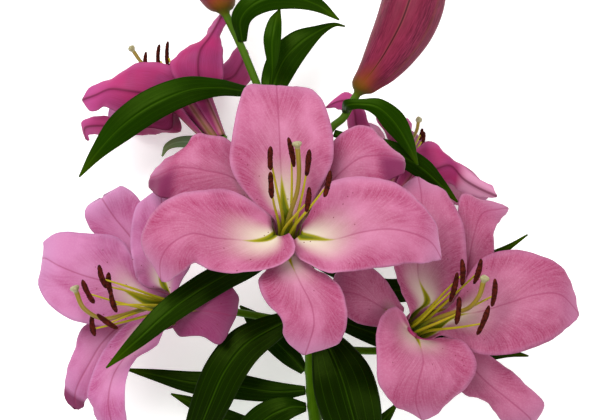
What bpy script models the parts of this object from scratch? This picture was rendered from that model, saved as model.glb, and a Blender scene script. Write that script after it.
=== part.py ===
"""A cut lily: one leafy stem with five open flowers and two buds, lying on a table with its front flower up.

The tables are in millimetres. +Y runs from the cut end of the stem to its tip, and +Z points up, away from
the table. Places are measured from the heart of the front flower, the middle of its throat, and REST moves
them so that the origin lies on the table, under the middle of the whole stem.
A row is one section across a tepal or leaf: its left edge, its midrib and its right edge, for someone who
looks along it to its tip with its inner or upper face towards them. A strip gives the same in five numbers:
the midrib's place, the half width, and how far the section is rolled about the midrib, in degrees.
"""

import math

import bmesh
import bpy
import numpy as np

MM = 0.001
REST = np.array([-14.0, 68.0, 135.0])
UP = np.array([0.0, 0.0, 1.0])

# Sizes that every flower shares.
TUBE_LENGTH = 42.0
TEPAL_THICKNESS = 0.8
TEPAL_STEPS = (13, 4)
RECEPTACLE_RADIUS = 6.8
TUBE_HEIGHTS = {"inner": (0.6, 20.0, 40.0), "outer": (0.6, 18.0, 35.0)}
TUBE_RADII = {"inner": (4.7, 7.9, 11.2), "outer": (6.3, 10.4, 15.0)}
TUBE_HALF_WIDTHS = {"inner": (2.9, 6.7, 9.9), "outer": (3.2, 6.4, 9.8)}

# The stamens: the ring that carries them, then heights along the axis with distances from it.
STAMEN_RING = (2.7, 3.8)
STAMEN_RING_HEIGHTS = (0.6, 2.2)
STAMEN_RING_SIDES = 12
FILAMENT_RADIUS = 0.8
FILAMENT_POINTS = 7
FILAMENT_COURSE = ((3.0, 3.2), (22.0, 4.4), (42.0, 5.2))
FILAMENT_SPREAD = (46.0, 6.8)
FILAMENT_SPREAD_SHARE = 0.45
ANTHER_CIRCLE = (60.0, 30.0)
ANTHER_RADIUS = 1.8
ANTHER_TIP_RADIUS = 0.8
ANTHER_SHARES = (0.08, 0.9, 1.0)

# The stalk and the pistil: distances along the axis, from the foot of the tube unless said.
PEDICEL_RADIUS = 2.6
PEDICEL_POINTS = 8
PEDICEL_JOINS_AXIS = 16.0
RECEPTACLE_LENGTH = 5.0
RECEPTACLE_NECK_RADIUS = 4.5
RECEPTACLE_RIM = 0.3
OVARY_SPAN = (3.0, 22.0)
OVARY_RADIUS = 2.1
OVARY_POINTS = 4
PISTIL_POINTS = 12
STYLE_PASSES_HEART = 2.0
STYLE_RADIUS = 1.2
STIGMA_RADIUS = 3.4
STIGMA_TOP_RADIUS = 1.6
STIGMA_RISES = (1.5, 3.5, 4.2)

# Sizes of the green parts.
LEAF_THICKNESS = 0.9
LEAF_STEPS = (8, 2)
CLEARANCE = 0.5
STEM_PATH = (
    (30, -374, -129.4), (29, -320, -119), (27, -260, -105), (25, -200, -92), (21, -150, -82),
    (17, -106, -76), (16, -70, -73), (14, -30, -72), (11, 5, -73), (8, 26, -74),
)
STEM_RADII = (5.6, 5.5, 5.3, 5.1, 4.9, 4.7, 4.5, 4.3, 4.0, 3.0)

# Each flower: its heart, the way it faces, where its stalk leaves the stem, the curve of its style, its
# anthers from the lower to the upper end, and its tepals with their place around the axis in degrees.
# Two flowers are younger: "organs" is how thick their stigma and anthers are against those of the others.
FLOWERS = {
    "front": {
        "heart": (0, 0, 0),
        "faces": (0.03, 0.60, 0.80),
        "leaves_stem": (14, -44, -72),
        "style": ((3, 11, 12), (7, 24, 19), (8, 38, 25), (7, 52, 29)),
        "anthers": (
            ((-11, 37, 25), (-11, 53, 28)), ((-10, 18, 34), (-11, 36, 38)), ((5, 39, 22), (1, 59, 25)),
            ((13, 33, 28), (15, 51, 31)), ((25, 19, 34), (29, 37, 36)), ((13, 9, 42), (15, 26, 46)),
        ),
        "tepals": (
            ("top_petal", "inner", 90, (
                ((-20, 13, -3), (-2, 14, -7), (15, 13, -3)),
                ((-37, 37, 1), (-4, 37, -3), (29, 39, 1)),
                ((-37, 57, 0), (-5, 59, -3), (31, 57, 0)),
                ((-33, 79, -5), (-6, 79, -7), (26, 79, -5)),
                ((-28, 93, -12), (-7, 93, -13), (18, 91, -12)),
                ((-18, 95, -22), (-7, 92, -26), (4, 92, -22)),
            )),
            ("left_petal", "inner", 210, (
                ((2, -5, 17), (-8, -6, 5), (-11, 7, -1)),
                ((5, -17, 26), (-14, -9, 8), (-21, 15, 4)),
                ((-10, -28, 27), (-23, -10, 11), (-31, 21, 7)),
                ((-31, -31, 24), (-34, -9, 15), (-42, 25, 9)),
                ((-48, -30, 22), (-47, -8, 20), (-53, 24, 12)),
                ((-60, -25, 20), (-63, -5, 24), (-70, 22, 14)),
                ((-67, -28, 16), (-77, -12, 22), (-90, 9, 12)),
                ((-73, -34, 12), (-84, -23, 17), (-97, -10, 9)),
                ((-80, -40, 9), (-84, -36, 10), (-90, -30, 8)),
            )),
            ("right_petal", "inner", 330, (
                ((13, 5, 1), (9, -7, 4), (3, -13, 10)),
                ((19, 17, 6), (18, -8, 7), (9, -22, 20)),
                ((28, 29, 9), (31, -9, 12), (25, -30, 23)),
                ((48, 33, 12), (50, -4, 19), (44, -30, 21)),
                ((68, 30, 14), (68, -2, 23), (66, -27, 20)),
                ((86, 19, 13), (84, -5, 20), (82, -25, 17)),
                ((98, 3, 10), (96, -11, 15), (92, -25, 13)),
                ((104, -16, 8), (103, -22, 9), (99, -26, 9)),
            )),
            ("upper_left_sepal", "outer", 150, (
                ((-18, 4, -12), (-17, 16, -17), (-13, 25, -16)),
                ((-36, 12, -10), (-36, 32, -12), (-36, 55, -16)),
                ((-54, 13, -9), (-54, 37, -8), (-52, 61, -14)),
                ((-72, 16, -12), (-67, 39, -8), (-61, 61, -14)),
                ((-79, 18, -13), (-76, 38, -9), (-68, 54, -14)),
                ((-86, 20, -16), (-83, 35, -14), (-77, 47, -18)),
                ((-90, 22, -22), (-88, 33, -21), (-84, 42, -23)),
                ((-93, 24, -26), (-92, 32, -26), (-89, 38, -25)),
                ((-90, 25, -31), (-89, 31, -31), (-86, 36, -30)),
            )),
            ("upper_right_sepal", "outer", 30, (
                ((15, 25, -15), (18, 16, -17), (20, 5, -11)),
                ((28, 53, -16), (34, 34, -14), (38, 13, -8)),
                ((43, 66, -17), (48, 45, -12), (52, 22, -8)),
                ((54, 67, -20), (58, 47, -14), (63, 27, -12)),
                ((61, 60, -24), (67, 47, -16), (70, 31, -15)),
                ((70, 53, -26), (76, 45, -20), (77, 35, -19)),
                ((76, 48, -29), (79, 43, -25), (78, 36, -24)),
                ((75, 44, -33), (77, 40, -31), (76, 34, -29)),
            )),
            ("lower_sepal", "outer", 270, (
                ((17, -28, 5), (2, -23, 10), (-12, -26, 4)),
                ((34, -38, 11), (9, -38, 14), (-19, -36, 11)),
                ((39, -52, 12), (16, -52, 15), (-14, -51, 12)),
                ((40, -66, 9), (18, -65, 14), (-3, -62, 11)),
                ((34, -78, 3), (15, -77, 8), (-3, -74, 5)),
                ((20, -85, -2), (12, -86, 1), (4, -82, -1)),
            )),
        ),
    },
    "left": {
        "heart": (-84, -54, -50),
        "faces": (-0.76, 0.06, 0.65),
        "leaves_stem": (16, -66, -73),
        "style": ((-97, -56, -40), (-111, -60, -32), (-124, -62, -26), (-136, -55, -20), (-141, -44, -17)),
        "anthers": (
            ((-118, -47, -33), (-120, -31, -33)), ((-129, -74, -29), (-131, -60, -27)),
            ((-121, -42, -18), (-126, -26, -14)), ((-129, -52, -12), (-137, -36, -8)),
            ((-114, -58, -14), (-118, -44, -9)), ((-113, -69, -14), (-127, -59, -8)),
        ),
        "tepals": (
            ("upper_left_petal", "inner", 169, (
                ((-104, -66, -54), (-101, -48, -58), (-98, -34, -60)),
                ((-122, -67, -46), (-118, -39, -54), (-112, -9, -58)),
                ((-142, -64, -42), (-138, -33, -50), (-134, -5, -56)),
                ((-159, -54, -44), (-153, -27, -50), (-151, -4, -58)),
                ((-168, -42, -50), (-162, -22, -54), (-164, -8, -60)),
                ((-169, -36, -57), (-165, -22, -60), (-165, -9, -65)),
            )),
            ("right_petal", "inner", 49, (
                ((-97, -40, -44), (-84, -36, -46), (-72, -40, -42)),
                ((-103, -28, -36), (-84, -20, -40), (-64, -24, -36)),
                ((-105, -8, -34), (-83, -2, -36), (-60, -4, -34)),
                ((-102, 12, -36), (-84, 14, -36), (-66, 12, -38)),
                ((-94, 23, -40), (-85, 25, -42), (-76, 22, -42)),
            )),
            ("lower_petal", "inner", 289, (
                ((-81, -67, -44), (-92, -66, -50), (-104, -64, -50)),
                ((-88, -80, -40), (-104, -82, -42), (-119, -77, -42)),
                ((-105, -94, -36), (-116, -99, -38), (-130, -97, -38)),
                ((-109, -116, -36), (-120, -118, -36), (-134, -114, -40)),
                ((-107, -132, -42), (-117, -136, -40), (-129, -126, -44)),
                ((-111, -145, -50), (-117, -147, -48), (-124, -142, -50)),
            )),
            ("upper_sepal", "outer", 109, (
                ((-100, -34, -70), (-92, -32, -72), (-84, -34, -68)),
                ((-117, -16, -72), (-104, -10, -70), (-90, -10, -66)),
                ((-132, -3, -74), (-116, 5, -70), (-98, 15, -66)),
                ((-138, 9, -75), (-124, 17, -70), (-109, 27, -68)),
                ((-135, 13, -82), (-125, 19, -79), (-113, 26, -78)),
            )),
            ("lower_left_sepal", "outer", 229, (
                ((-102, -72, -62), (-109, -66, -66), (-114, -56, -70)),
                ((-112, -86, -62), (-124, -78, -64), (-137, -68, -68)),
                ((-122, -100, -64), (-134, -94, -62), (-144, -85, -66)),
                ((-132, -113, -66), (-141, -107, -64), (-149, -100, -66)),
                ((-136, -119, -70), (-143, -115, -68), (-151, -109, -70)),
                ((-134, -123, -76), (-142, -124, -75), (-151, -120, -76)),
            )),
            ("right_sepal", "outer", 349, (
                ((-64, -47, -37), (-66, -57, -32), (-77, -68, -40)),
                ((-55, -42, -33), (-57, -57, -28), (-71, -74, -38)),
                ((-43, -38, -34), (-47, -58, -28), (-58, -74, -31)),
                ((-34, -45, -38), (-38, -60, -34), (-46, -80, -36)),
                ((-31, -52, -44), (-34, -60, -42), (-41, -72, -44)),
            )),
        ),
    },
    "right": {
        "heart": (92, -66, -40),
        "faces": (0.54, 0.32, 0.78),
        "leaves_stem": (16, -84, -74),
        "style": ((100, -62, -28), (111, -58, -18), (121, -55, -10), (128, -47, -4), (131, -37, 0)),
        "anthers": (
            ((117, -40, -8), (117, -22, -4)), ((109, -51, -12), (114, -31, -8)),
            ((125, -39, -12), (130, -22, -9)), ((137, -54, -4), (139, -35, 0)),
            ((113, -66, -2), (115, -47, 3)), ((127, -73, -4), (135, -53, 1)),
        ),
        "tepals": (
            ("top_petal", "inner", 118, (
                ((81, -53, -34), (94, -50, -40), (106, -50, -40)),
                ((74, -38, -24), (88, -34, -32), (119, -38, -34)),
                ((72, -18, -18), (88, -14, -26), (120, -13, -30)),
                ((70, 4, -18), (90, 6, -24), (117, 4, -29)),
                ((72, 18, -26), (90, 20, -29), (108, 21, -33)),
                ((76, 30, -42), (88, 33, -42), (98, 29, -43)),
            )),
            ("right_petal", "inner", -2, (
                ((111, -52, -40), (112, -61, -42), (106, -74, -42)),
                ((129, -23, -32), (131, -57, -30), (126, -85, -27)),
                ((152, -16, -28), (150, -51, -22), (147, -86, -20)),
                ((173, -21, -30), (167, -46, -22), (167, -81, -24)),
                ((189, -33, -36), (183, -46, -29), (184, -72, -32)),
                ((194, -52, -42), (196, -59, -40), (194, -65, -40)),
            )),
            ("lower_petal", "inner", 238, (
                ((103, -75, -37), (85, -73, -41), (73, -54, -32)),
                ((118, -77, -22), (89, -80, -26), (61, -64, -17)),
                ((127, -92, -18), (91, -91, -14), (60, -88, -10)),
                ((122, -105, -20), (88, -103, -12), (61, -105, -12)),
                ((108, -119, -26), (86, -117, -17), (70, -118, -18)),
                ((97, -130, -34), (90, -130, -30), (84, -127, -28)),
            )),
            ("upper_right_sepal", "outer", 58, (
                ((106, -46, -52), (110, -54, -54), (117, -58, -52)),
                ((112, -24, -46), (120, -32, -46), (130, -36, -48)),
                ((114, 4, -44), (125, -8, -44), (139, -17, -48)),
                ((118, 22, -50), (131, 8, -47), (139, -2, -50)),
                ((133, 17, -56), (142, 11, -54), (145, 4, -55)),
                ((147, 15, -62), (149, 12, -62), (150, 9, -62)),
            )),
            ("lower_right_sepal", "outer", -62, (
                ((117, -72, -50), (110, -76, -52), (102, -80, -50)),
                ((132, -84, -46), (122, -92, -48), (108, -97, -48)),
                ((146, -94, -48), (134, -105, -44), (118, -112, -46)),
                ((159, -105, -50), (149, -117, -46), (136, -120, -50)),
                ((173, -119, -56), (162, -128, -54), (146, -134, -56)),
                ((171, -130, -64), (166, -134, -64), (158, -137, -64)),
            )),
            ("left_sepal", "outer", 178, (
                ((74, -69, -42), (72, -60, -44), (75, -50, -42)),
                ((62, -68, -36), (61, -53, -34), (66, -36, -32)),
                ((50, -66, -30), (48, -46, -28), (53, -26, -28)),
                ((41, -62, -30), (37, -44, -28), (38, -28, -30)),
                ((33, -54, -36), (28, -44, -36), (30, -34, -36)),
            )),
        ),
    },
    "upper_left": {
        "heart": (-68, 91, -88),
        "faces": (-0.52, 0.80, -0.30),
        "leaves_stem": (9, 18, -74),
        "organs": 0.75,
        "style": ((-76, 98, -88), (-86, 103, -87), (-97, 109, -87), (-104, 118, -88)),
        "anthers": (
            ((-95, 100, -90), (-96, 118, -90)), ((-87, 105, -94), (-87, 123, -94)),
            ((-81, 107, -90), (-81, 125, -90)), ((-90, 97, -98), (-91, 107, -100)),
            ((-80, 100, -102), (-80, 110, -104)), ((-74, 104, -98), (-73, 114, -100)),
        ),
        "tepals": (
            ("left_petal", "inner", -120, (
                ((-68, 98, -70), (-80, 86, -66), (-84, 77, -76)),
                ((-81, 109, -66), (-93, 89, -60), (-94, 75, -68)),
                ((-98, 110, -65), (-107, 91, -58), (-108, 75, -64)),
                ((-114, 102, -66), (-119, 92, -61), (-122, 80, -65)),
                ((-126, 97, -69), (-129, 88, -66), (-129, 77, -69)),
                ((-136, 92, -75), (-138, 85, -74), (-136, 77, -75)),
            )),
            ("right_petal", "inner", 0, (
                ((-42, 90, -96), (-45, 98, -90), (-49, 106, -92)),
                ((-32, 92, -100), (-37, 101, -93), (-43, 110, -96)),
                ((-25, 100, -104), (-32, 108, -97), (-38, 116, -102)),
                ((-24, 110, -110), (-29, 115, -104), (-34, 121, -108)),
                ((-27, 118, -118), (-30, 121, -115), (-34, 123, -118)),
            )),
            ("under_petal", "inner", 120, (
                (-77, 84, -104, 12, 0), (-88, 84, -115, 19, 0), (-102, 80, -125, 18, 0),
                (-114, 76, -131, 12, 0), (-122, 72, -134.6, 4, 0),
            )),
            ("upper_sepal", "outer", -60, (
                ((-46, 92, -72), (-57, 90, -66), (-67, 88, -66)),
                ((-43, 104, -67), (-60, 104, -59), (-79, 107, -61)),
                ((-43, 115, -67), (-59, 117, -59), (-73, 116, -61)),
                ((-45, 125, -72), (-52, 127, -67), (-60, 124, -70)),
                ((-42, 136, -82), (-46, 138, -80), (-51, 135, -83)),
                ((-38, 146, -91), (-42, 147, -91), (-46, 146, -93)),
            )),
            ("lower_left_sepal", "outer", 176, (
                ((-85, 73, -82), (-79, 66, -85), (-72, 63, -92)),
                ((-97, 72, -82), (-92, 67, -84), (-88, 63, -94)),
                ((-112, 72, -82), (-110, 67, -80), (-106, 60, -88)),
                ((-130, 74, -86), (-128, 68, -84), (-124, 60, -90)),
                ((-139, 71, -92), (-137, 66, -92), (-134, 62, -94)),
                ((-138, 64, -98), (-135, 58, -98), (-132, 56, -98)),
            )),
            ("under_sepal", "outer", 75, (
                (-62, 91, -111, 9, 0), (-60, 99, -120, 13, 0), (-59, 106, -127, 12, 0),
                (-58, 111, -132, 7, 0), (-58, 115, -134.6, 3, 0),
            )),
        ),
    },
    "back_right": {
        "heart": (78, 47, -99),
        "faces": (0.33, 0.83, -0.45),
        "leaves_stem": (12, 2, -73),
        "organs": 0.7,
        "style": ((81, 54, -104), (85, 59, -108), (88, 65, -112), (89, 70, -115)),
        "anthers": (
            ((80, 58, -112), (84, 69, -116)), ((91, 52, -106), (93, 64, -110)),
            ((76, 60, -112), (77, 70, -118)), ((90, 58, -122), (92, 66, -126)),
            ((82, 58, -123), (83, 66, -127)), ((73, 56, -104), (73, 66, -108)),
        ),
        "tepals": (
            ("front_petal", "inner", -90, (
                ((85, 58, -87), (76, 60, -80), (67, 60, -90)),
                ((85, 64, -88), (75, 67, -79), (62, 69, -90)),
                ((83, 70, -94), (74, 72, -88), (61, 76, -96)),
                ((79, 74, -102), (74, 75, -101), (69, 77, -104)),
            )),
            ("right_under_petal", "inner", 30, (
                (94, 37, -109, 13, 0), (108, 31, -117, 14, 0), (120, 26, -125, 13, 0),
                (130, 22, -131, 9, 0), (138, 20, -134.6, 4, 0),
            )),
            ("left_under_petal", "inner", 150, (
                (60, 52, -114, 9, 0), (56, 60, -124, 10, 0), (55, 66, -131, 8, 0),
                (55, 70, -134.4, 4, 0),
            )),
            ("left_sepal", "outer", -150, (
                ((59, 63, -87), (51, 60, -90), (45, 55, -98)),
                ((54, 71, -88), (47, 69, -87), (41, 65, -95)),
                ((52, 78, -88), (46, 76, -86), (40, 71, -93)),
                ((50, 84, -90), (43, 84, -88), (38, 78, -93)),
                ((40, 90, -95), (35, 84, -93), (33, 79, -96)),
                ((27, 82, -99), (26, 80, -99), (26, 79, -99)),
            )),
            ("right_sepal", "outer", -30, (
                ((88, 31, -92), (90, 42, -87), (88, 53, -91)),
                ((98, 27, -90), (98, 38, -83), (97, 57, -88)),
                ((111, 29, -90), (110, 41, -82), (108, 49, -86)),
                ((115, 24, -92), (119, 32, -86), (120, 39, -88)),
                ((126, 21, -98), (129, 26, -94), (132, 31, -96)),
                ((139, 17, -106), (142, 20, -104), (141, 26, -106)),
            )),
            ("under_sepal", "outer", 90, (
                (78, 46, -122, 10, 0), (80, 53, -128, 13, 0), (82, 60, -132, 11, 0),
                (83, 66, -134.6, 5, 0),
            )),
        ),
    },
}

# Each bud: whether it ends the stem or grows from its side, the curve of its stalk, and the curve of the bud
# itself with a radius for each point.
BUD_STALK_POINTS = 12
BUD_NECK_RADIUS = 3.6
BUDS = {
    "left_bud": {
        "ends_stem": True,
        "stalk": (
            (6.6, 27, -74), (2, 42, -74), (-8, 65, -75), (-21, 97, -76), (-31, 121, -77), (-42, 144, -78),
        ),
        "body": (
            (-43, 148, -78.4), (-47, 157, -79), (-55, 176, -81), (-64, 199, -84), (-72, 221, -88),
            (-78, 238, -92),
        ),
        "radii": (8.5, 12.5, 16.5, 16.5, 12.0, 4.0),
    },
    "right_bud": {
        "ends_stem": False,
        "stalk": (
            (9, 12, -73), (15, 36, -74), (23, 54, -73), (30, 66, -72), (38, 73, -71), (43, 82, -70),
            (48, 90, -69),
        ),
        "body": (
            (50, 93.5, -68.6), (55.5, 99.5, -68), (62.8, 108, -67), (71, 120, -66), (79.8, 136, -65),
            (86, 153, -66), (91.5, 170, -67), (96, 184, -68.5), (98.5, 192, -70),
        ),
        "radii": (7.5, 10.0, 13.6, 17.0, 19.8, 20.3, 16.5, 10.0, 3.5),
    },
}

# The leaves that grow from a bud's stalk; all others grow from the main stem.
LEAF_HOSTS = {
    "leaf_over_upper_left_flower": "left_bud",
    "arching_leaf": "left_bud",
    "small_upper_leaf": "left_bud",
    "upper_leaf": "left_bud",
    "right_bud_leaf": "right_bud",
    "leaf_before_right_flower": "right_bud",
}

# Each leaf as a strip, from the place where it leaves the stem to its tip.
LEAVES = {
    "leaf_over_left_flower": (
        (12, -8, -72, 2.5, 0), (-6, -15, -58, 6, 0), (-25, -25, -44, 9, 0), (-43, -34, -32, 9.5, 0),
        (-60, -44, -23, 9.5, 0), (-80, -58, -18, 8.5, 0), (-101, -77, -18, 5.5, 0), (-121, -95, -24, 0.6, 0),
    ),
    "leaf_over_upper_left_flower": (
        (-19, 88, -70, 2.5, 0), (-30, 91, -62, 4, 0), (-46, 93, -52, 6, 0), (-67, 91, -46, 9.5, 0),
        (-91, 81, -44, 11, 0), (-112, 66, -47, 10, 0), (-128, 49, -53, 5, 0), (-140, 33, -62, 0.6, 0),
    ),
    "arching_leaf": (
        (-33, 124, -71, 3, 0), (-31, 140, -64, 7, 0), (-18, 152, -60, 9, 0), (2, 154, -60, 8, 0),
        (20, 149, -64, 5, 0), (35, 139, -70, 0.6, 0),
    ),
    "small_upper_leaf": (
        (-16, 84, -75, 1.2, 0), (-11, 95, -68, 1.2, 0), (-10, 104, -64, 1.5, 0), (-10, 112, -62, 4, 0),
        (-10, 126, -60, 6, 0), (-8, 138, -62, 4.5, 0), (-5, 146, -66, 0.6, 0),
    ),
    "upper_leaf": (
        (-12, 76, -75, 2, 0), (-9, 96, -82, 9, 0), (-2, 112, -80, 11, 0), (9, 124, -80, 9, 0),
        (22, 132, -82, 4, 0), (32, 136, -86, 1.5, 0), (39, 135, -90, 0.6, 0),
    ),
    "right_bud_leaf": (
        (38, 74, -66, 2.5, 0), (40, 81, -58, 4, 0), (50, 82, -54, 3.5, 0), (61, 80, -52, 6, 0),
        (72, 70, -52, 8, 0), (81, 56, -54, 5, 0), (88, 41, -60, 0.6, 0),
    ),
    "leaf_before_right_flower": (
        (33, 60, -69, 2.5, 0), (50, 56, -66, 4, 0), (64, 53, -64, 6, 0), (78, 47, -64, 7, 0),
        (92, 38, -64, 7, 0), (104, 27, -66, 4, 0), (115, 16, -68, 0.6, 0),
    ),
    "pale_back_leaf": (
        (9, 10, -76, 2.5, 0), (-24, 40, -94, 4, 0), (-50, 54, -104, 5, 0), (-70, 57, -108, 4, 0),
        (-81, 54, -108, 2.5, 0), (-85, 47, -108, 0.6, 0),
    ),
    "left_leaf": (
        (11, -112, -77, 3, 0), (-10, -112, -86, 7, 0), (-40, -108, -92, 9, 0), (-65, -106, -96, 7.5, 0),
        (-90, -101, -98, 4, 0), (-110, -97, -98, 0.6, 0),
    ),
    "lower_left_leaf": (
        (14, -146, -84, 3, 0), (-20, -139, -98, 7, 0), (-45, -130, -106, 7, 0), (-65, -120, -108, 4, 0),
        (-79, -114, -108, 0.6, 0),
    ),
    "broad_left_leaf": (
        (9, -59, -67, 3, 0), (-8, -68, -60, 9, 0), (-28, -80, -54, 13, 0), (-42, -98, -54, 14, 0),
        (-52, -120, -60, 13, 0), (-62, -145, -74, 9, 0), (-70, -165, -90, 0.6, 0),
    ),
    "leaf_behind_broad_leaf": (
        (16, -98, -76, 3, 0), (2, -88, -84, 7, 0), (-10, -76, -88, 8, 0), (-22, -64, -90, 6, 0),
        (-32, -54, -90, 0.6, 0),
    ),
    "broad_right_leaf": (
        (18, -68, -67, 4, 0), (28, -82, -58, 13, 0), (36, -100, -53, 20, 0), (42, -120, -55, 21, 0),
        (48, -142, -64, 17, 0), (54, -165, -78, 9, 0), (58, -180, -92, 0.6, 0),
    ),
    "lower_front_leaf": (
        (13, -122, -74, 3, 0), (0, -123, -72, 8, 0), (-14, -130, -74, 11, 0), (-28, -143, -80, 10, 0),
        (-42, -160, -90, 6, 0), (-50, -175, -100, 0.6, 0),
    ),
    "leaf_behind_right_flower": (
        (20, -58, -78, 3, 0), (40, -66, -88, 6, 0), (70, -76, -96, 9, 0), (100, -82, -98, 9, 0),
        (130, -85, -94, 7, 0), (150, -86, -86, 3, 0), (163, -88, -82, 0.6, 0),
    ),
    "right_back_leaf": (
        (18, -24, -78, 2.5, 0), (40, -34, -92, 5, 0), (70, -44, -102, 8, 0), (102, -38, -106, 8, 0),
        (134, -24, -104, 5, 0), (151, -14, -102, 2, 0), (163, -6, -102, 0.6, 0),
    ),
    "low_right_leaf": (
        (28, -166, -90, 2.5, 0), (40, -158, -98, 5, 0), (54, -144, -102, 6, 0), (66, -131, -104, 4, 0),
        (75, -120, -106, 0.6, 0),
    ),
}


def unit(vector):
    return vector / np.linalg.norm(vector)


def curve_through(points, count):
    """A smooth curve that passes through every point, as count points evenly spaced along it."""
    points = np.array(points, dtype=float)
    ends = np.vstack([2 * points[0] - points[1], points, 2 * points[-1] - points[-2]])
    fine = []
    for index in range(1, len(ends) - 2):
        before, start, end, after = ends[index - 1:index + 3]
        for step in range(12):
            t = step / 12
            fine.append(0.5 * (2 * start + (end - before) * t
                               + (2 * before - 5 * start + 4 * end - after) * t ** 2
                               + (3 * start - before - 3 * end + after) * t ** 3))
    fine.append(points[-1])
    fine = np.array(fine)
    middle = fine.reshape(len(fine), -1, 3)[:, fine.shape[1] // 6]
    along = np.concatenate([[0], np.cumsum(np.linalg.norm(np.diff(middle, axis=0), axis=1))])
    wanted = np.linspace(0, along[-1], count)
    return np.array([np.interp(wanted, along, column) for column in fine.T]).T


def material(name, colour, roughness):
    """A plain dielectric finish in an sRGB colour."""
    finish = bpy.data.materials.get(name)
    if finish is None:
        finish = bpy.data.materials.new(name)
        finish.use_nodes = True
        shader = finish.node_tree.nodes["Principled BSDF"]
        linear = [(part / 255) ** 2.2 for part in colour]
        shader.inputs["Base Color"].default_value = (*linear, 1)
        shader.inputs["Roughness"].default_value = roughness
        shader.inputs["Metallic"].default_value = 0.0
    return finish


def place_points(points):
    return [tuple((np.array(point, dtype=float) + REST) * MM) for point in points]


def add_object(name, data, finish):
    piece = bpy.data.objects.new(name, data)
    data.materials.append(finish)
    bpy.context.collection.objects.link(piece)
    return piece


def strip_rows(strip):
    """The rows of a strip: each section is square to the midrib, and level but for its roll."""
    places = np.array([point[:3] for point in strip], dtype=float)
    ways = np.gradient(places, axis=0)
    rows = []
    for place, way, (half_width, roll) in zip(places, ways, [point[3:] for point in strip]):
        side = unit(np.cross(way, UP))
        normal = unit(np.cross(side, way))
        turn = math.radians(roll)
        side = side * math.cos(turn) + normal * math.sin(turn)
        rows.append((place - side * half_width, place, place + side * half_width))
    return rows


def blade(name, rows, steps, thickness, finish, rounded_tip):
    """A thin curved blade through its rows, as a sheet thickened to both sides."""
    along, across = steps
    rows = np.array([np.concatenate(row) for row in rows], dtype=float)
    sections = curve_through(rows, along + 1)
    points = []
    for index, section in enumerate(sections):
        left, middle, right = section.reshape(3, 3)
        shrink = math.sqrt(1 - 0.94 * (index / along) ** 20) if rounded_tip else 1
        for column in range(across + 1):
            v = 2 * column / across - 1
            points.append(middle + shrink * (v * (right - left) / 2 + v * v * ((left + right) / 2 - middle)))
    faces = []
    for row in range(along):
        for column in range(across):
            corner = row * (across + 1) + column
            faces.append((corner, corner + 1, corner + across + 2, corner + across + 1))
    mesh = bpy.data.meshes.new(name)
    mesh.from_pydata(place_points(points), [], faces)
    mesh.shade_smooth()
    piece = add_object(name, mesh, finish)
    solidify = piece.modifiers.new("thickness", "SOLIDIFY")
    solidify.thickness = thickness * MM
    solidify.offset = 0
    return piece


def rod(name, points, radii, sides, finish):
    """A round stalk along a curve, with a radius of its own at each point and flat ends."""
    data = bpy.data.curves.new(name, "CURVE")
    data.dimensions = "3D"
    data.bevel_depth = MM
    data.bevel_resolution = sides // 4 - 1
    data.use_fill_caps = True
    line = data.splines.new("POLY")
    line.points.add(len(points) - 1)
    for point, place, radius in zip(line.points, place_points(points), radii):
        point.co = (*place, 1)
        point.radius = radius
    line.use_smooth = True
    return add_object(name, data, finish)


class Flower:
    """One flower's axis, and the directions that lie square to it."""

    def __init__(self, sizes):
        self.heart = np.array(sizes["heart"], dtype=float)
        self.axis = unit(np.array(sizes["faces"], dtype=float))
        self.foot = self.heart - self.axis * TUBE_LENGTH
        across = np.array([1.0, 0.0, 0.0])
        self.right = unit(across - self.axis * across.dot(self.axis))
        self.above = np.cross(self.axis, self.right)

    def place(self, height, radius, degrees):
        angle = math.radians(degrees)
        outward = self.right * math.cos(angle) + self.above * math.sin(angle)
        return self.foot + self.axis * height + outward * radius

    def tube_rows(self, kind, degrees):
        """The claw of a tepal, wrapped round the tube from the receptacle to the throat."""
        rows = []
        for height, radius, half in zip(TUBE_HEIGHTS[kind], TUBE_RADII[kind], TUBE_HALF_WIDTHS[kind]):
            wrap = math.degrees(half / radius)
            rows.append(tuple(self.place(height, radius, degrees + turn) for turn in (wrap, 0, -wrap)))
        return rows


def seat(start, onward, half, host, flat=False):
    """Where a part of half size half leaves its host: its end is just clear of the host's skin."""
    line, radii = host
    nearest = int(np.argmin(np.linalg.norm(line - start, axis=1)))
    host_way = unit(np.gradient(line, axis=0)[nearest])
    way = unit(onward - line[nearest])
    outward = unit(way - host_way * way.dot(host_way))
    reach = abs(unit(np.cross(way, UP)).dot(outward)) if flat else abs(way.dot(host_way))
    return line[nearest] + outward * (radii[nearest] + CLEARANCE + half * reach)


def tepal(name, flower, kind, degrees, sections, finish):
    sections = strip_rows(sections) if len(sections[0]) == 5 else sections
    rows = flower.tube_rows(kind, degrees) + list(sections)
    return blade(name, rows, TEPAL_STEPS, TEPAL_THICKNESS, finish, rounded_tip=True)


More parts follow.
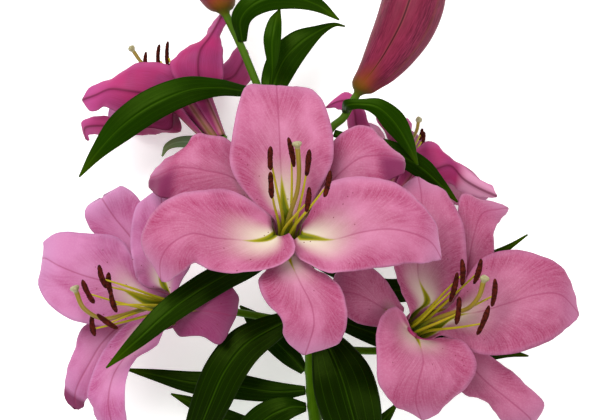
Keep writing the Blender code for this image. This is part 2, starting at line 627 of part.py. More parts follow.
def stalk_and_pistil(name, flower, sizes, host, finish):
    """The pedicel, the receptacle, the ovary, the style and the stigma, which grow as one piece."""
    bend = flower.foot - flower.axis * PEDICEL_JOINS_AXIS
    start = seat(np.array(sizes["leaves_stem"], dtype=float), bend, PEDICEL_RADIUS, host)
    neck = flower.foot - flower.axis * RECEPTACLE_LENGTH
    pedicel = curve_through((start, bend, neck), PEDICEL_POINTS)
    ovary = [flower.foot + flower.axis * height for height in OVARY_SPAN]
    throat = flower.heart + flower.axis * STYLE_PASSES_HEART
    pistil = curve_through((*ovary, throat, *sizes["style"]), PISTIL_POINTS)
    head = unit(pistil[-1] - pistil[-2])
    organs = sizes.get("organs", 1.0)
    points = [*pedicel, flower.foot - flower.axis * RECEPTACLE_RIM, flower.foot, *pistil]
    points += [pistil[-1] + head * rise * organs for rise in STIGMA_RISES]
    radii = [PEDICEL_RADIUS] * (PEDICEL_POINTS - 1) + [RECEPTACLE_NECK_RADIUS, RECEPTACLE_RADIUS]
    radii += [OVARY_RADIUS] * (OVARY_POINTS + 1) + [STYLE_RADIUS] * (PISTIL_POINTS - OVARY_POINTS)
    radii += [STIGMA_RADIUS * organs, STIGMA_RADIUS * organs, STIGMA_TOP_RADIUS * organs]
    return rod(name, points, radii, 8, finish)


def stamens(name, flower, sizes, finish):
    """Six filaments with their anthers, drawn up one by one from the ring that carries them."""
    inner, outer = STAMEN_RING
    low, high = STAMEN_RING_HEIGHTS
    sides = STAMEN_RING_SIDES
    bm = bmesh.new()
    turns = [(k + 0.5) * 360 / sides for k in range(sides)]
    ring = []
    for radius, height in ((inner, low), (outer, low), (outer, high), (inner, high)):
        ring.append([bm.verts.new(flower.place(height, radius, turn)) for turn in turns])
    tops = []
    for k in range(sides):
        after = (k + 1) % sides
        for row in range(4):
            lower, upper = ring[row], ring[(row + 1) % 4]
            face = bm.faces.new((lower[k], lower[after], upper[after], upper[k]))
            if row == 2:
                tops.append((face, (k + 1) * 360 / sides))
    open_tops = tops[1::2]
    for low_end, high_end in sizes["anthers"]:
        target = np.array(low_end, dtype=float)
        gap = [np.linalg.norm(flower.place(*ANTHER_CIRCLE, degrees) - target) for face, degrees in open_tops]
        face, degrees = open_tops.pop(int(np.argmin(gap)))
        anther = (target, np.array(high_end, dtype=float), ANTHER_RADIUS * sizes.get("organs", 1.0))
        grow_stamen(bm, face, flower, degrees, anther)
    for vertex in bm.verts:
        vertex.co = place_points([vertex.co])[0]
    mesh = bpy.data.meshes.new(name)
    bm.to_mesh(mesh)
    bm.free()
    return add_object(name, mesh, finish)


def grow_stamen(bm, face, flower, degrees, anther):
    """One filament along the tube and out to its anther, as a limb of square sections."""
    low_end, high_end, anther_radius = anther
    course = [flower.place(height, radius, degrees) for height, radius in FILAMENT_COURSE]
    spread = flower.place(*FILAMENT_SPREAD, degrees)
    knee = low_end + (spread - low_end) * FILAMENT_SPREAD_SHARE
    path = list(curve_through((*course, knee, low_end), FILAMENT_POINTS))
    radii = [FILAMENT_RADIUS] * len(path)
    for share, radius in zip(ANTHER_SHARES, (anther_radius, anther_radius, ANTHER_TIP_RADIUS)):
        path.append(low_end + (high_end - low_end) * share)
        radii.append(radius)
    corner = np.array(face.verts[0].co) - np.array(face.calc_center_median())
    for index, (place, radius) in enumerate(zip(path, radii)):
        following = path[min(index + 1, len(path) - 1)]
        way = unit(following - path[max(index - 1, 0)])
        corner = unit(corner - way * corner.dot(way))
        other = np.cross(way, corner)
        face = bmesh.ops.extrude_discrete_faces(bm, faces=[face])["faces"][0]
        for vertex, (u, v) in zip(face.verts, ((1, 0), (0, 1), (-1, 0), (0, -1))):
            vertex.co = place + (corner * u + other * v) * radius


def clear_scene():
    for piece in list(bpy.data.objects):
        bpy.data.objects.remove(piece, do_unlink=True)


clear_scene()
petal = material("petal", (208, 106, 155), 0.55)
leaf_green = material("leaf", (38, 66, 16), 0.35)
stem_green = material("stem", (86, 128, 38), 0.5)
bud_rose = material("bud", (150, 52, 82), 0.5)
pollen = material("pollen", (78, 22, 16), 0.9)

stem_line = curve_through(STEM_PATH, 32)
stem_radii = np.interp(np.linspace(0, 1, 32), np.linspace(0, 1, len(STEM_RADII)), STEM_RADII)
rod("main_stem", stem_line, stem_radii, 12, stem_green)
hosts = {"main_stem": (stem_line, stem_radii)}

for place_name, sizes in FLOWERS.items():
    flower = Flower(sizes)
    stalk_and_pistil(f"{place_name}_flower_stalk_and_pistil", flower, sizes, hosts["main_stem"], stem_green)
    stamens(f"{place_name}_flower_stamens", flower, sizes, pollen)
    for tepal_name, kind, degrees, sections in sizes["tepals"]:
        tepal(f"{place_name}_flower_{tepal_name}", flower, kind, degrees, sections, petal)

for bud_name, bud in BUDS.items():
    stalk = np.array(bud["stalk"], dtype=float)
    if not bud["ends_stem"]:
        stalk[0] = seat(stalk[0], stalk[1], PEDICEL_RADIUS, hosts["main_stem"])
    stalk = curve_through(stalk, BUD_STALK_POINTS)
    hosts[bud_name] = (stalk, [PEDICEL_RADIUS] * len(stalk))
    radii = [PEDICEL_RADIUS] * (BUD_STALK_POINTS - 1) + [BUD_NECK_RADIUS, *bud["radii"]]
    rod(bud_name, [*stalk, *bud["body"]], radii, 12, bud_rose)

for leaf_name, strip in LEAVES.items():
    host = hosts[LEAF_HOSTS.get(leaf_name, "main_stem")]
    first, second = np.array(strip[0][:3], dtype=float), np.array(strip[1][:3], dtype=float)
    base = seat(first, second, strip[0][3], host, flat=True)
    strip = ((*base, *strip[0][3:]), *strip[1:])
    blade(leaf_name, strip_rows(strip), LEAF_STEPS, LEAF_THICKNESS, leaf_green, rounded_tip=False)
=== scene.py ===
import math

import bpy
import numpy as np
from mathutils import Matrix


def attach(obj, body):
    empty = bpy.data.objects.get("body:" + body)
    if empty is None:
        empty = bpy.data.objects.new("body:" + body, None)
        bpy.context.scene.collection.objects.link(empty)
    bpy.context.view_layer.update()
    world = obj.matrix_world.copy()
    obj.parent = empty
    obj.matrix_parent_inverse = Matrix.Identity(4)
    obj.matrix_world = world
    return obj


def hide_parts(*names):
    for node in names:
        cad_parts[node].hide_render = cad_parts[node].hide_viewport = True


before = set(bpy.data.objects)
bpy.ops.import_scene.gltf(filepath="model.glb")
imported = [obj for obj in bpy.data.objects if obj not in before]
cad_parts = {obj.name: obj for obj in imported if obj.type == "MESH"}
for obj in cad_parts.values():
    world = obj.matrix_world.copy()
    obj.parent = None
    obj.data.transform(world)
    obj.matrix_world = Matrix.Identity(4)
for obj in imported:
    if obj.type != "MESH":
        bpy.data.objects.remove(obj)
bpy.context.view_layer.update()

# The work bench. The cut lily lies on a white light panel, lit by soft boxes, with the camera straight above.
# All of this section is in metres.
BOARD_HALF = 6.0
CAMERA_HEIGHT = 6.0
SEEN_WIDTH = 0.4
SENSOR = 36.0
HEART_HEIGHT = 0.135
VIEW_MIDDLE = (-0.00533, 0.07867)
FAR_CLIP = 100.0


def linear(code):
    """An sRGB hex colour as the linear colour that a shader takes."""
    parts = [int(code[start:start + 2], 16) / 255 for start in (1, 3, 5)]
    return (*[part / 12.92 if part <= 0.04045 else ((part + 0.055) / 1.055) ** 2.4 for part in parts], 1.0)


def add_node(finish, kind, inputs=(), **settings):
    """Adds a node. Its inputs go by name or in order, and each is a value or a node that is linked to it."""
    node = finish.node_tree.nodes.new("ShaderNode" + kind)
    for name, value in settings.items():
        setattr(node, name, value)
    if not isinstance(inputs, dict):
        open_sockets = [socket for socket in node.inputs if socket.enabled]
        inputs = {socket.identifier: value for socket, value in zip(open_sockets, inputs)}
    by_identifier = {socket.identifier: socket for socket in node.inputs}
    for key, value in inputs.items():
        socket = by_identifier.get(key) or node.inputs[key]
        if isinstance(value, bpy.types.Node):
            value = next(output for output in value.outputs if output.enabled)
        if isinstance(value, bpy.types.NodeSocket):
            finish.node_tree.links.new(value, socket)
        elif isinstance(value, str):
            socket.default_value = linear(value)
        else:
            socket.default_value = value
    return node


def new_finish(name, **sockets):
    """A new material whose shader has these values on its own sockets."""
    finish = bpy.data.materials.new(name)
    finish.use_nodes = True
    shader = finish.node_tree.nodes["Principled BSDF"]
    for socket, value in sockets.items():
        shader.inputs[socket.replace("_", " ")].default_value = value
    return finish


def feed_shader(finish, **sockets):
    """Links nodes to the sockets of a material's shader."""
    shader = finish.node_tree.nodes["Principled BSDF"]
    for socket, node in sockets.items():
        output = next(output for output in node.outputs if output.enabled)
        finish.node_tree.links.new(output, shader.inputs[socket.replace("_", " ")])


def linked(name, data):
    """A new object that is in the scene."""
    thing = bpy.data.objects.new(name, data)
    bpy.context.collection.objects.link(thing)
    return thing


# Opal acrylic sheet over a soft light: white and matt, with a fine moulded tooth of about 1 mm.
# Its glow is painted light: it washes out the shadows that the lily casts on the sheet.
SHADOW_WASHING_GLOW = 0.33
opal_sheet = new_finish("opal_acrylic_sheet", Roughness=0.8, Specular_IOR_Level=0.2,
                        Emission_Strength=SHADOW_WASHING_GLOW, Emission_Color=linear("#ffffff"))
place = add_node(opal_sheet, "NewGeometry").outputs["Position"]
tooth = add_node(opal_sheet, "TexNoise", {"Vector": place, "Scale": 900.0, "Detail": 2.0})
colour = add_node(opal_sheet, "Mix", [tooth, "#fbfbfb", "#ffffff"], data_type="RGBA")
bump = add_node(opal_sheet, "Bump", {"Height": tooth, "Strength": 0.05, "Distance": 0.0002})
feed_shader(opal_sheet, Base_Color=colour, Normal=bump)
board_mesh = bpy.data.meshes.new("board")
board_mesh.from_pydata([(-BOARD_HALF, -BOARD_HALF, 0), (BOARD_HALF, -BOARD_HALF, 0),
                        (BOARD_HALF, BOARD_HALF, 0), (-BOARD_HALF, BOARD_HALF, 0)], [], [(0, 1, 2, 3)])
board_mesh.materials.append(opal_sheet)
board = linked("board", board_mesh)

camera_data = bpy.data.cameras.new("camera")
camera_data.sensor_width = SENSOR
camera_data.lens = SENSOR * CAMERA_HEIGHT / SEEN_WIDTH
camera_data.clip_end = FAR_CLIP
camera = linked("camera", camera_data)
camera.location = (*VIEW_MIDDLE, HEART_HEIGHT + CAMERA_HEIGHT)
bpy.context.scene.camera = camera

# Soft boxes: name, place, size and power in watts. Each one faces the lily.
SOFT_BOXES = (
    ("key_soft_box", (-0.8, 1.2, 2.2), 1.6, 62.0),
    ("fill_soft_box", (1.5, -0.6, 1.8), 1.8, 20.0),
)
ROOM_LIGHT = 0.66
for light_name, place, size, power in SOFT_BOXES:
    light_data = bpy.data.lights.new(light_name, "AREA")
    light_data.shape = "SQUARE"
    light_data.size = size
    light_data.energy = power
    light = linked(light_name, light_data)
    light.location = place
    light.rotation_mode = "QUATERNION"
    light.rotation_quaternion = light.location.to_track_quat("Z", "Y")
studio = bpy.data.worlds.new("studio")
studio.use_nodes = True
studio.node_tree.nodes["Background"].inputs["Color"].default_value = linear("#ffffff")
studio.node_tree.nodes["Background"].inputs["Strength"].default_value = ROOM_LIGHT
bpy.context.scene.world = studio
bpy.context.scene.view_settings.view_transform = "Standard"

# The main stem. A smooth round green stalk, 11 mm thick at the cut and thinner towards the flowers, with a
# low swelling under every leaf and flower stalk, and a clean cut that shows the pale pith.
# From here on, places are in millimetres from the heart of the front flower; REST moves them over the board.
MM = 0.001
REST = np.array([-14.0, 68.0, 135.0])
UP = np.array([0.0, 0.0, 1.0])
STEM_PATH = (
    (30, -374, -129.4), (29, -320, -119), (27, -260, -105), (25, -200, -92), (21, -150, -82),
    (17, -106, -76), (16, -70, -73), (14, -30, -72), (11, 5, -73), (8, 26, -74),
)
STEM_RADII = (5.6, 5.5, 5.3, 5.1, 4.9, 4.7, 4.5, 4.3, 4.0, 3.0)
STEM_SIDES = 28
STEM_RINGS = 190
STEM_CORNERS = 0.02
STEM_TWIST = 0.02
COLLAR_PLACES = (-30, -24, -44, -59, -58, -66, -68, -84, -98, -112, -122, -146, -166, 2, 10, 18)
COLLAR_HEIGHT = 0.55
COLLAR_REACH = 2.2
CURVE_STEPS = 12
# A direction that no part's line follows, which a tube's first ring is turned from.
OFF_LINE = (0.31, 0.17, 0.93)


def unit(vector):
    return vector / np.linalg.norm(vector)


def step_lengths(points):
    """The distance from each point to the next one."""
    return np.linalg.norm(np.diff(np.array(points, dtype=float), axis=0), axis=-1)


def distance_along(points):
    """How far each point is from the first one, along the points."""
    return np.concatenate([[0], np.cumsum(step_lengths(points))])


def curve_through(points, count):
    """A smooth curve that passes through every point, as count points evenly spaced along it."""
    points = np.array(points, dtype=float)
    ends = np.vstack([2 * points[0] - points[1], points, 2 * points[-1] - points[-2]])
    fine = []
    for index in range(1, len(ends) - 2):
        before, start, end, after = ends[index - 1:index + 3]
        for step in range(CURVE_STEPS):
            t = step / CURVE_STEPS
            fine.append(0.5 * (2 * start + (end - before) * t
                               + (2 * before - 5 * start + 4 * end - after) * t ** 2
                               + (3 * start - before - 3 * end + after) * t ** 3))
    fine.append(points[-1])
    fine = np.array(fine)
    along = distance_along(fine.reshape(len(fine), -1, 3)[:, fine.shape[1] // 6])
    wanted = np.linspace(0, along[-1], count)
    return np.array([np.interp(wanted, along, column) for column in fine.T]).T


def new_shape():
    """An empty shape: its points, its faces, and for each face its finish and the marks of its corners."""
    return {"points": [], "faces": [], "finishes": [], "marks": []}


def add_face(shape, corners, marks, finish):
    shape["faces"].append(tuple(corners))
    shape["marks"].extend(marks)
    shape["finishes"].append(finish)


def add_tube(shape, line, radii, sides, start=0.0, outline=None, cap_finish=0):
    """A round part along a line, closed at both ends. Its marks are the millimetres along it, from start at
    the first ring, and the share of the way round it. The outline scales each ring by length and angle."""
    first = len(shape["points"])
    line = np.array(line, dtype=float)
    ways = np.gradient(line, axis=0)
    ways /= np.linalg.norm(ways, axis=1)[:, None]
    along = start + distance_along(line)
    side = unit(np.cross(ways[0], OFF_LINE))
    angles = np.arange(sides) * 2 * math.pi / sides
    for place, way, radius, length in zip(line, ways, radii, along):
        side = unit(side - way * side.dot(way))
        other = np.cross(way, side)
        spread = radius * (np.ones(sides) if outline is None else outline(length, angles))
        ring = place + np.outer(np.cos(angles) * spread, side) + np.outer(np.sin(angles) * spread, other)
        shape["points"].extend(ring)
    for row in range(len(line) - 1):
        for k in range(sides):
            after = (k + 1) % sides
            low, high = first + row * sides, first + (row + 1) * sides
            marks = [(along[row], k / sides), (along[row], (k + 1) / sides),
                     (along[row + 1], (k + 1) / sides), (along[row + 1], k / sides)]
            add_face(shape, (low + k, low + after, high + after, high + k), marks, 0)
    for row, turned in ((0, True), (len(line) - 1, False)):
        centre = len(shape["points"])
        shape["points"].append(line[row])
        for k in range(sides):
            pair = [first + row * sides + k, first + row * sides + (k + 1) % sides]
            corners = [centre, *(reversed(pair) if turned else pair)]
            add_face(shape, corners, [(along[row], 0.5)] * 3, cap_finish)


def make_piece(name, shape, finishes):
    """Turns a shape into a smooth mesh object in metres, with its marks as UV maps."""
    mesh = bpy.data.meshes.new(name)
    mesh.from_pydata([tuple((point + REST) * MM) for point in shape["points"]], [], shape["faces"])
    for finish in finishes:
        mesh.materials.append(finish)
    mesh.polygons.foreach_set("material_index", shape["finishes"])
    marks = np.array(shape["marks"], dtype=np.float32)
    for index, layer_name in enumerate(("marks", "millimetres", "tone")[:marks.shape[1] // 2]):
        layer = mesh.uv_layers.new(name=layer_name)
        layer.data.foreach_set("uv", marks[:, 2 * index:2 * index + 2].ravel())
    mesh.shade_smooth()
    return linked(name, mesh)


def marks_of(finish, layer="marks"):
    """The two numbers that a part's marks hold at each place: by default along it, and round or across it."""
    return add_node(finish, "SeparateXYZ", [add_node(finish, "UVMap", uv_map=layer)]).outputs[:2]


def streaks(finish, along, along_waves, across, across_waves, **noise):
    """Noise drawn out into streaks, with how many waves it has for each unit along and across."""
    place = add_node(finish, "CombineXYZ", [
        add_node(finish, "Math", [along, along_waves], operation="MULTIPLY"),
        add_node(finish, "Math", [across, across_waves], operation="MULTIPLY"), 0.0])
    return add_node(finish, "TexNoise", {"Vector": place, "Scale": 1.0, **noise})


def lay_colours(finish, colour, *layers):
    """Lays colours over a first one. A layer is a colour and its fades, which together say how much of it
    shows. A fade is a place, two values of it, the share at each, and the kind of step if it isn't even."""
    for over, *fades in layers:
        share = 1.0
        for place, start, end, at_start, at_end, *step in fades:
            fade = add_node(finish, "MapRange", [place, start, end, at_start, at_end],
                            interpolation_type=step[0] if step else "LINEAR")
            share = add_node(finish, "Math", [share, fade], operation="MULTIPLY")
        colour = add_node(finish, "Mix", [share, colour, over], data_type="RGBA")
    return colour


# Lily stem skin: smooth, waxy and fibrous, so it has fine streaks along it, 0.8 mm apart, and a soft gloss.
stem_skin = new_finish("lily_stem_skin", Roughness=0.42, Specular_IOR_Level=0.15,
                       Specular_Tint=linear("#d8e860"))
along, around = marks_of(stem_skin)
fibres = streaks(stem_skin, along, 0.03, around, 42.0, Detail=3.0)
colour = add_node(stem_skin, "Mix", [fibres, "#294a00", "#4c7208"], data_type="RGBA")
place = add_node(stem_skin, "NewGeometry").outputs["Position"]
patches = add_node(stem_skin, "TexNoise", {"Vector": place, "Scale": 26.0, "Detail": 2.0})
colour = lay_colours(stem_skin, colour, ("#203800", (patches, 0.42, 0.68, 0.0, 0.55)))
bump = add_node(stem_skin, "Bump", {"Height": fibres, "Strength": 0.25, "Distance": 0.0003})
feed_shader(stem_skin, Base_Color=colour, Normal=bump)

# The cut face of the stem: moist pith, pale green with darker fibre ends about 0.7 mm apart.
stem_pith = new_finish("lily_stem_pith", Roughness=0.5)
place = add_node(stem_pith, "NewGeometry").outputs["Position"]
fibre_ends = add_node(stem_pith, "TexVoronoi", {"Vector": place, "Scale": 1400.0})
colour = lay_colours(stem_pith, "#7a8640", ("#b4ba8a", (fibre_ends, 0.1, 0.45, 0.0, 1.0)))
feed_shader(stem_pith, Base_Color=colour)

stem_line = curve_through(STEM_PATH, STEM_RINGS)
stem_radii = np.interp(np.linspace(0, 1, STEM_RINGS), np.linspace(0, 1, len(STEM_RADII)), STEM_RADII)
for level in COLLAR_PLACES:
    stem_radii += COLLAR_HEIGHT * np.exp(-((stem_line[:, 1] - level) / COLLAR_REACH) ** 2)


def stem_outline(length, angles):
    """The stem is very slightly three-sided, and its corners turn slowly round it."""
    return 1 + STEM_CORNERS * np.cos(3 * angles + length * STEM_TWIST)


shape = new_shape()
add_tube(shape, stem_line, stem_radii, STEM_SIDES, outline=stem_outline, cap_finish=1)
main_stem = make_piece("main_stem_skin", shape, (stem_skin, stem_pith))
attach(main_stem, "root")
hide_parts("main_stem")
# What a stalk or a leaf can grow from: its line and its radii.
hosts = {"main_stem": (stem_line, stem_radii)}

# The flower stalks. Round green pedicels, 5 mm thick, that widen into the seat of the flower. They have the
# same skin as the stem and grow out of it.
STALK_RADIUS = 2.6
STALK_SIDES = 20
STALK_RINGS = 46
STALK_INSET = 1.5
# How far before the flower's foot the stalk passes its last points.
STALK_COURSE = (16.0, 5.0, 0.4)
# How much wider the stalk is at its root and at the seat, and how it gets there.
ROOT_FLARE = 0.9
ROOT_FADE = 22
SEAT_FLARE = 3.9
SEAT_START = 0.84
SEAT_CURVE = 1.6
CLEARANCE = 0.5
TUBE_LENGTH = 42.0
# Each flower's heart, the way that it faces, where its stalk leaves the stem, how large its stamens and
# pistil are, the course of its style, and both ends of each anther.
FLOWERS = {
    "front": {
        "heart": (0, 0, 0), "faces": (0.03, 0.6, 0.8), "leaves_stem": (14, -44, -72), "organs": 1.0,
        "style": ((3, 11, 12), (7, 24, 19), (8, 38, 25), (7, 52, 29)),
        "anthers": (
            ((-11, 37, 25), (-11, 53, 28)), ((-10, 18, 34), (-11, 36, 38)), ((5, 39, 22), (1, 59, 25)),
            ((13, 33, 28), (15, 51, 31)), ((25, 19, 34), (29, 37, 36)), ((13, 9, 42), (15, 26, 46)),
        ),
    },
    "left": {
        "heart": (-84, -54, -50), "faces": (-0.76, 0.06, 0.65), "leaves_stem": (16, -66, -73), "organs": 1.0,
        "style": ((-97, -56, -40), (-111, -60, -32), (-124, -62, -26), (-136, -55, -20), (-141, -44, -17)),
        "anthers": (
            ((-118, -47, -33), (-120, -31, -33)), ((-129, -74, -29), (-131, -60, -27)),
            ((-121, -42, -18), (-126, -26, -14)), ((-129, -52, -12), (-137, -36, -8)),
            ((-114, -58, -14), (-118, -44, -9)), ((-113, -69, -14), (-127, -59, -8)),
        ),
    },
    "right": {
        "heart": (92, -66, -40), "faces": (0.54, 0.32, 0.78), "leaves_stem": (16, -84, -74), "organs": 1.0,
        "style": ((100, -62, -28), (111, -58, -18), (121, -55, -10), (128, -47, -4), (131, -37, 0)),
        "anthers": (
            ((117, -40, -8), (117, -22, -4)), ((109, -51, -12), (114, -31, -8)),
            ((125, -39, -12), (130, -22, -9)), ((137, -54, -4), (139, -35, 0)),
            ((113, -66, -2), (115, -47, 3)), ((127, -73, -4), (135, -53, 1)),
        ),
    },
    "upper_left": {
        "heart": (-68, 91, -88), "faces": (-0.52, 0.8, -0.3), "leaves_stem": (9, 18, -74), "organs": 0.75,
        "style": ((-76, 98, -88), (-86, 103, -87), (-97, 109, -87), (-104, 118, -88)),
        "anthers": (
            ((-95, 100, -90), (-96, 118, -90)), ((-87, 105, -94), (-87, 123, -94)),
            ((-81, 107, -90), (-81, 125, -90)), ((-90, 97, -98), (-91, 107, -100)),
            ((-80, 100, -102), (-80, 110, -104)), ((-74, 104, -98), (-73, 114, -100)),
        ),
    },
    "back_right": {
        "heart": (78, 47, -99), "faces": (0.33, 0.83, -0.45), "leaves_stem": (12, 2, -73), "organs": 0.7,
        "style": ((81, 54, -104), (85, 59, -108), (88, 65, -112), (89, 70, -115)),
        "anthers": (
            ((80, 58, -112), (84, 69, -116)), ((91, 52, -106), (93, 64, -110)),
            ((76, 60, -112), (77, 70, -118)), ((90, 58, -122), (92, 66, -126)),
            ((82, 58, -123), (83, 66, -127)), ((73, 56, -104), (73, 66, -108)),
        ),
    },
}


class Flower:
    """One flower's axis, and the directions that lie square to it."""

    def __init__(self, sizes):
        self.heart = np.array(sizes["heart"], dtype=float)
        self.axis = unit(np.array(sizes["faces"], dtype=float))
        self.foot = self.heart - self.axis * TUBE_LENGTH
        across = np.array([1.0, 0.0, 0.0])
        self.right = unit(across - self.axis * across.dot(self.axis))
        self.above = np.cross(self.axis, self.right)

    def place(self, height, radius, degrees):
        """A place at this height over the foot, and at this distance and angle round the axis."""
        angle = math.radians(degrees)
        outward = self.right * math.cos(angle) + self.above * math.sin(angle)
        return self.foot + self.axis * height + outward * radius


def seat(start, onward, half, host, flat=False):
    """Where a part of half size half leaves its host: its end is just clear of the host's skin."""
    line, radii = host
    nearest = int(np.argmin(np.linalg.norm(line - start, axis=1)))
    host_way = unit(np.gradient(line, axis=0)[nearest])
    way = unit(onward - line[nearest])
    outward = unit(way - host_way * way.dot(host_way))
    reach = abs(unit(np.cross(way, UP)).dot(outward)) if flat else abs(way.dot(host_way))
    return line[nearest] + outward * (radii[nearest] + CLEARANCE + half * reach)


for flower_name, sizes in FLOWERS.items():
    flower = Flower(sizes)
    course = [flower.place(-before, 0, 0) for before in STALK_COURSE]
    start = seat(np.array(sizes["leaves_stem"], dtype=float), course[0], STALK_RADIUS - STALK_INSET,
                 hosts["main_stem"])
    line = curve_through((start, *course), STALK_RINGS)
    rise = np.linspace(0, 1, STALK_RINGS)
    widening = np.clip((rise - SEAT_START) / (1 - SEAT_START), 0, 1) ** SEAT_CURVE
    radii = STALK_RADIUS + ROOT_FLARE * np.exp(-rise * ROOT_FADE) + SEAT_FLARE * widening
    shape = new_shape()
    add_tube(shape, line, radii, STALK_SIDES)
    stalk = make_piece(f"{flower_name}_flower_stalk", shape, (stem_skin,))
    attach(stalk, "root")
    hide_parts(f"{flower_name}_flower_stalk_and_pistil")

# The pistils. A ribbed green ovary, a long curved olive style that thickens a little, and a damp stigma with
# three lobes and a furrow between each two. They grow up through the middle of the tube.
STYLE_RADIUS = 1.45
STYLE_SWELLING = 0.35
STYLE_SWELLS_FROM = 0.8
OVARY_RADIUS = 2.1
OVARY_END = 0.34
OVARY_TAPER = 0.08
# The heights over the flower's foot, and over its heart, that the pistil passes.
PISTIL_COURSE = (1, 22)
STYLE_LEAVES = 2
PISTIL_SIDES = 24
PISTIL_RINGS = 90
PISTIL_TUBE_RINGS = 50
PISTIL_RIBS = 0.05
STIGMA_RADIUS = 3.1
STIGMA_START = -5.0
STIGMA_BLEND = 2.0
STIGMA_LOBES = 0.16
STIGMA_HEIGHTS = (0.7, 1.5, 2.2, 3.0, 3.6, 4.1, 4.4, 4.5)
STIGMA_SHARES = (0.66, 0.9, 0.99, 1.0, 0.9, 0.62, 0.3, 0.12)
# Pistil skin: smooth and damp. It goes from green at the ovary to olive yellow, and the stigma is grey green.
pistil_skin = new_finish("lily_pistil_skin", Roughness=0.35, Specular_IOR_Level=0.5)
along = marks_of(pistil_skin)[0]
place = add_node(pistil_skin, "NewGeometry").outputs["Position"]
grain = add_node(pistil_skin, "TexNoise", {"Vector": place, "Scale": 700.0, "Detail": 2.0})
stigma_colour = add_node(pistil_skin, "Mix", [grain, "#7d7440", "#9c9672"], data_type="RGBA")
colour = lay_colours(pistil_skin, "#5a6b18", ("#7f680a", (along, -75.0, -45.0, 0.0, 1.0)),
                     (stigma_colour, (along, -5.4, -4.2, 0.0, 1.0)))
bump = add_node(pistil_skin, "Bump", {"Height": grain, "Strength": 0.3, "Distance": 0.0002})
feed_shader(pistil_skin, Base_Color=colour, Normal=bump)


def pistil_outline(length, angles):
    """Six low ribs on the ovary and style, and three deep lobes on the stigma, whose tip is at length 0."""
    lobes = np.clip((length - STIGMA_START) / STIGMA_BLEND, 0, 1)
    return 1 + PISTIL_RIBS * (1 - lobes) * np.cos(6 * angles) + lobes * STIGMA_LOBES * np.cos(3 * angles)


for flower_name, sizes in FLOWERS.items():
    flower = Flower(sizes)
    course = [flower.place(height, 0, 0) for height in PISTIL_COURSE]
    line = curve_through((*course, flower.heart + flower.axis * STYLE_LEAVES, *sizes["style"]), PISTIL_RINGS)
    line = np.vstack([line, line[-1] + np.outer(STIGMA_HEIGHTS, unit(line[-1] - line[-3]))])
    rise = np.linspace(0, 1, PISTIL_RINGS)
    radii = STYLE_RADIUS + (OVARY_RADIUS - STYLE_RADIUS) * np.clip((OVARY_END - rise) / OVARY_TAPER, 0, 1)
    radii += STYLE_SWELLING * np.clip((rise - STYLE_SWELLS_FROM) / (1 - STYLE_SWELLS_FROM), 0, 1)
    radii = np.concatenate([radii, STIGMA_RADIUS * np.array(STIGMA_SHARES)])
    radii[PISTIL_TUBE_RINGS:] *= sizes["organs"]
    shape = new_shape()
    add_tube(shape, line, radii, PISTIL_SIDES, start=-step_lengths(line).sum(), outline=pistil_outline)
    pistil = make_piece(f"{flower_name}_flower_pistil", shape, (pistil_skin,))
    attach(pistil, "root")
    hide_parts(f"{flower_name}_flower_stalk_and_pistil")

# The stamens. Six smooth yellow-green filaments taper out of the tube, and each carries by its back a long
# furrowed anther, dark red-brown and rough with pollen.
FILAMENT_BASE = 1.45
FILAMENT_TIP = 0.6
FILAMENT_SIDES = 10
FILAMENT_RINGS = 44
# The height over the foot, and the distance from the axis, that a filament passes on its way up the tube.
FILAMENT_COURSE = ((2.4, 3.2), (22, 4.4), (42, 5.2))
FILAMENT_LEAVES = (46, 6.8)
FILAMENT_BEND = 0.55
FILAMENT_ANGLES = (60.0, 120.0, 180.0, 240.0, 300.0, 360.0)
ANTHER_CIRCLE = (60, 30)
ANTHER_RADIUS = 1.7
ANTHER_TIP = 0.12
# How suddenly an anther's ends close, and how round they are.
ANTHER_ENDS = (4, 0.6)
ANTHER_BOW = 1.1
ANTHER_SIDES = 18
ANTHER_RINGS = 34
# The depth and half angle of the furrows in front and behind, the roughness of the powder, and the lumps.
FRONT_FURROW = (0.26, 0.42)
BACK_FURROW = (0.16, 0.35)
POWDER = 0.06
LUMP_HEIGHT = 0.07
LUMP_TURNS = 9
# Where an anther is held: the share of its length, and the share of its radius behind it.
HELD_AT = 0.36
HELD_BEHIND = 0.7
random = np.random.default_rng(11)
# Filament skin: smooth, translucent and waxy, from green in the tube to lemon yellow, in 8 mm patches.
filament_skin = new_finish("lily_filament_skin", Roughness=0.4, Specular_IOR_Level=0.2)
along = marks_of(filament_skin)[0]
place = add_node(filament_skin, "NewGeometry").outputs["Position"]
patches = add_node(filament_skin, "TexNoise", {"Vector": place, "Scale": 120.0, "Detail": 2.0})
colour = lay_colours(filament_skin, "#747e12", ("#a89a16", (along, 20.0, 62.0, 0.0, 1.0)),
                     ("#94800e", (patches, 0.4, 0.7, 0.0, 0.45)))
feed_shader(filament_skin, Base_Color=colour)
# Lily pollen on the anther: a rough oily powder in clumps of about 0.4 mm, red brown with nearly black
# patches 2 mm across.
pollen_grains = new_finish("lily_pollen", Roughness=0.85, Specular_IOR_Level=0.08)
place = add_node(pollen_grains, "NewGeometry").outputs["Position"]
clumps = add_node(pollen_grains, "TexVoronoi", {"Vector": place, "Scale": 2600.0})
patches = add_node(pollen_grains, "TexNoise", {"Vector": place, "Scale": 500.0, "Detail": 3.0})
colour = lay_colours(pollen_grains, "#240602", ("#52170a", (patches, 0.35, 0.7, 0.0, 1.0)))
bump = add_node(pollen_grains, "Bump", {"Height": clumps, "Strength": 0.6, "Distance": 0.0003})
feed_shader(pollen_grains, Base_Color=colour, Normal=bump)


def anther_outline(length, angles):
    """Two long pollen sacs side by side: a deep furrow in front and a shallow one behind, all along them."""
    sacs = np.ones(len(angles))
    for middle, (depth, half_angle) in ((math.pi / 2, FRONT_FURROW), (3 * math.pi / 2, BACK_FURROW)):
        sacs -= depth * np.exp(-((angles - middle) / half_angle) ** 2)
    return sacs + random.normal(0, POWDER, len(angles))


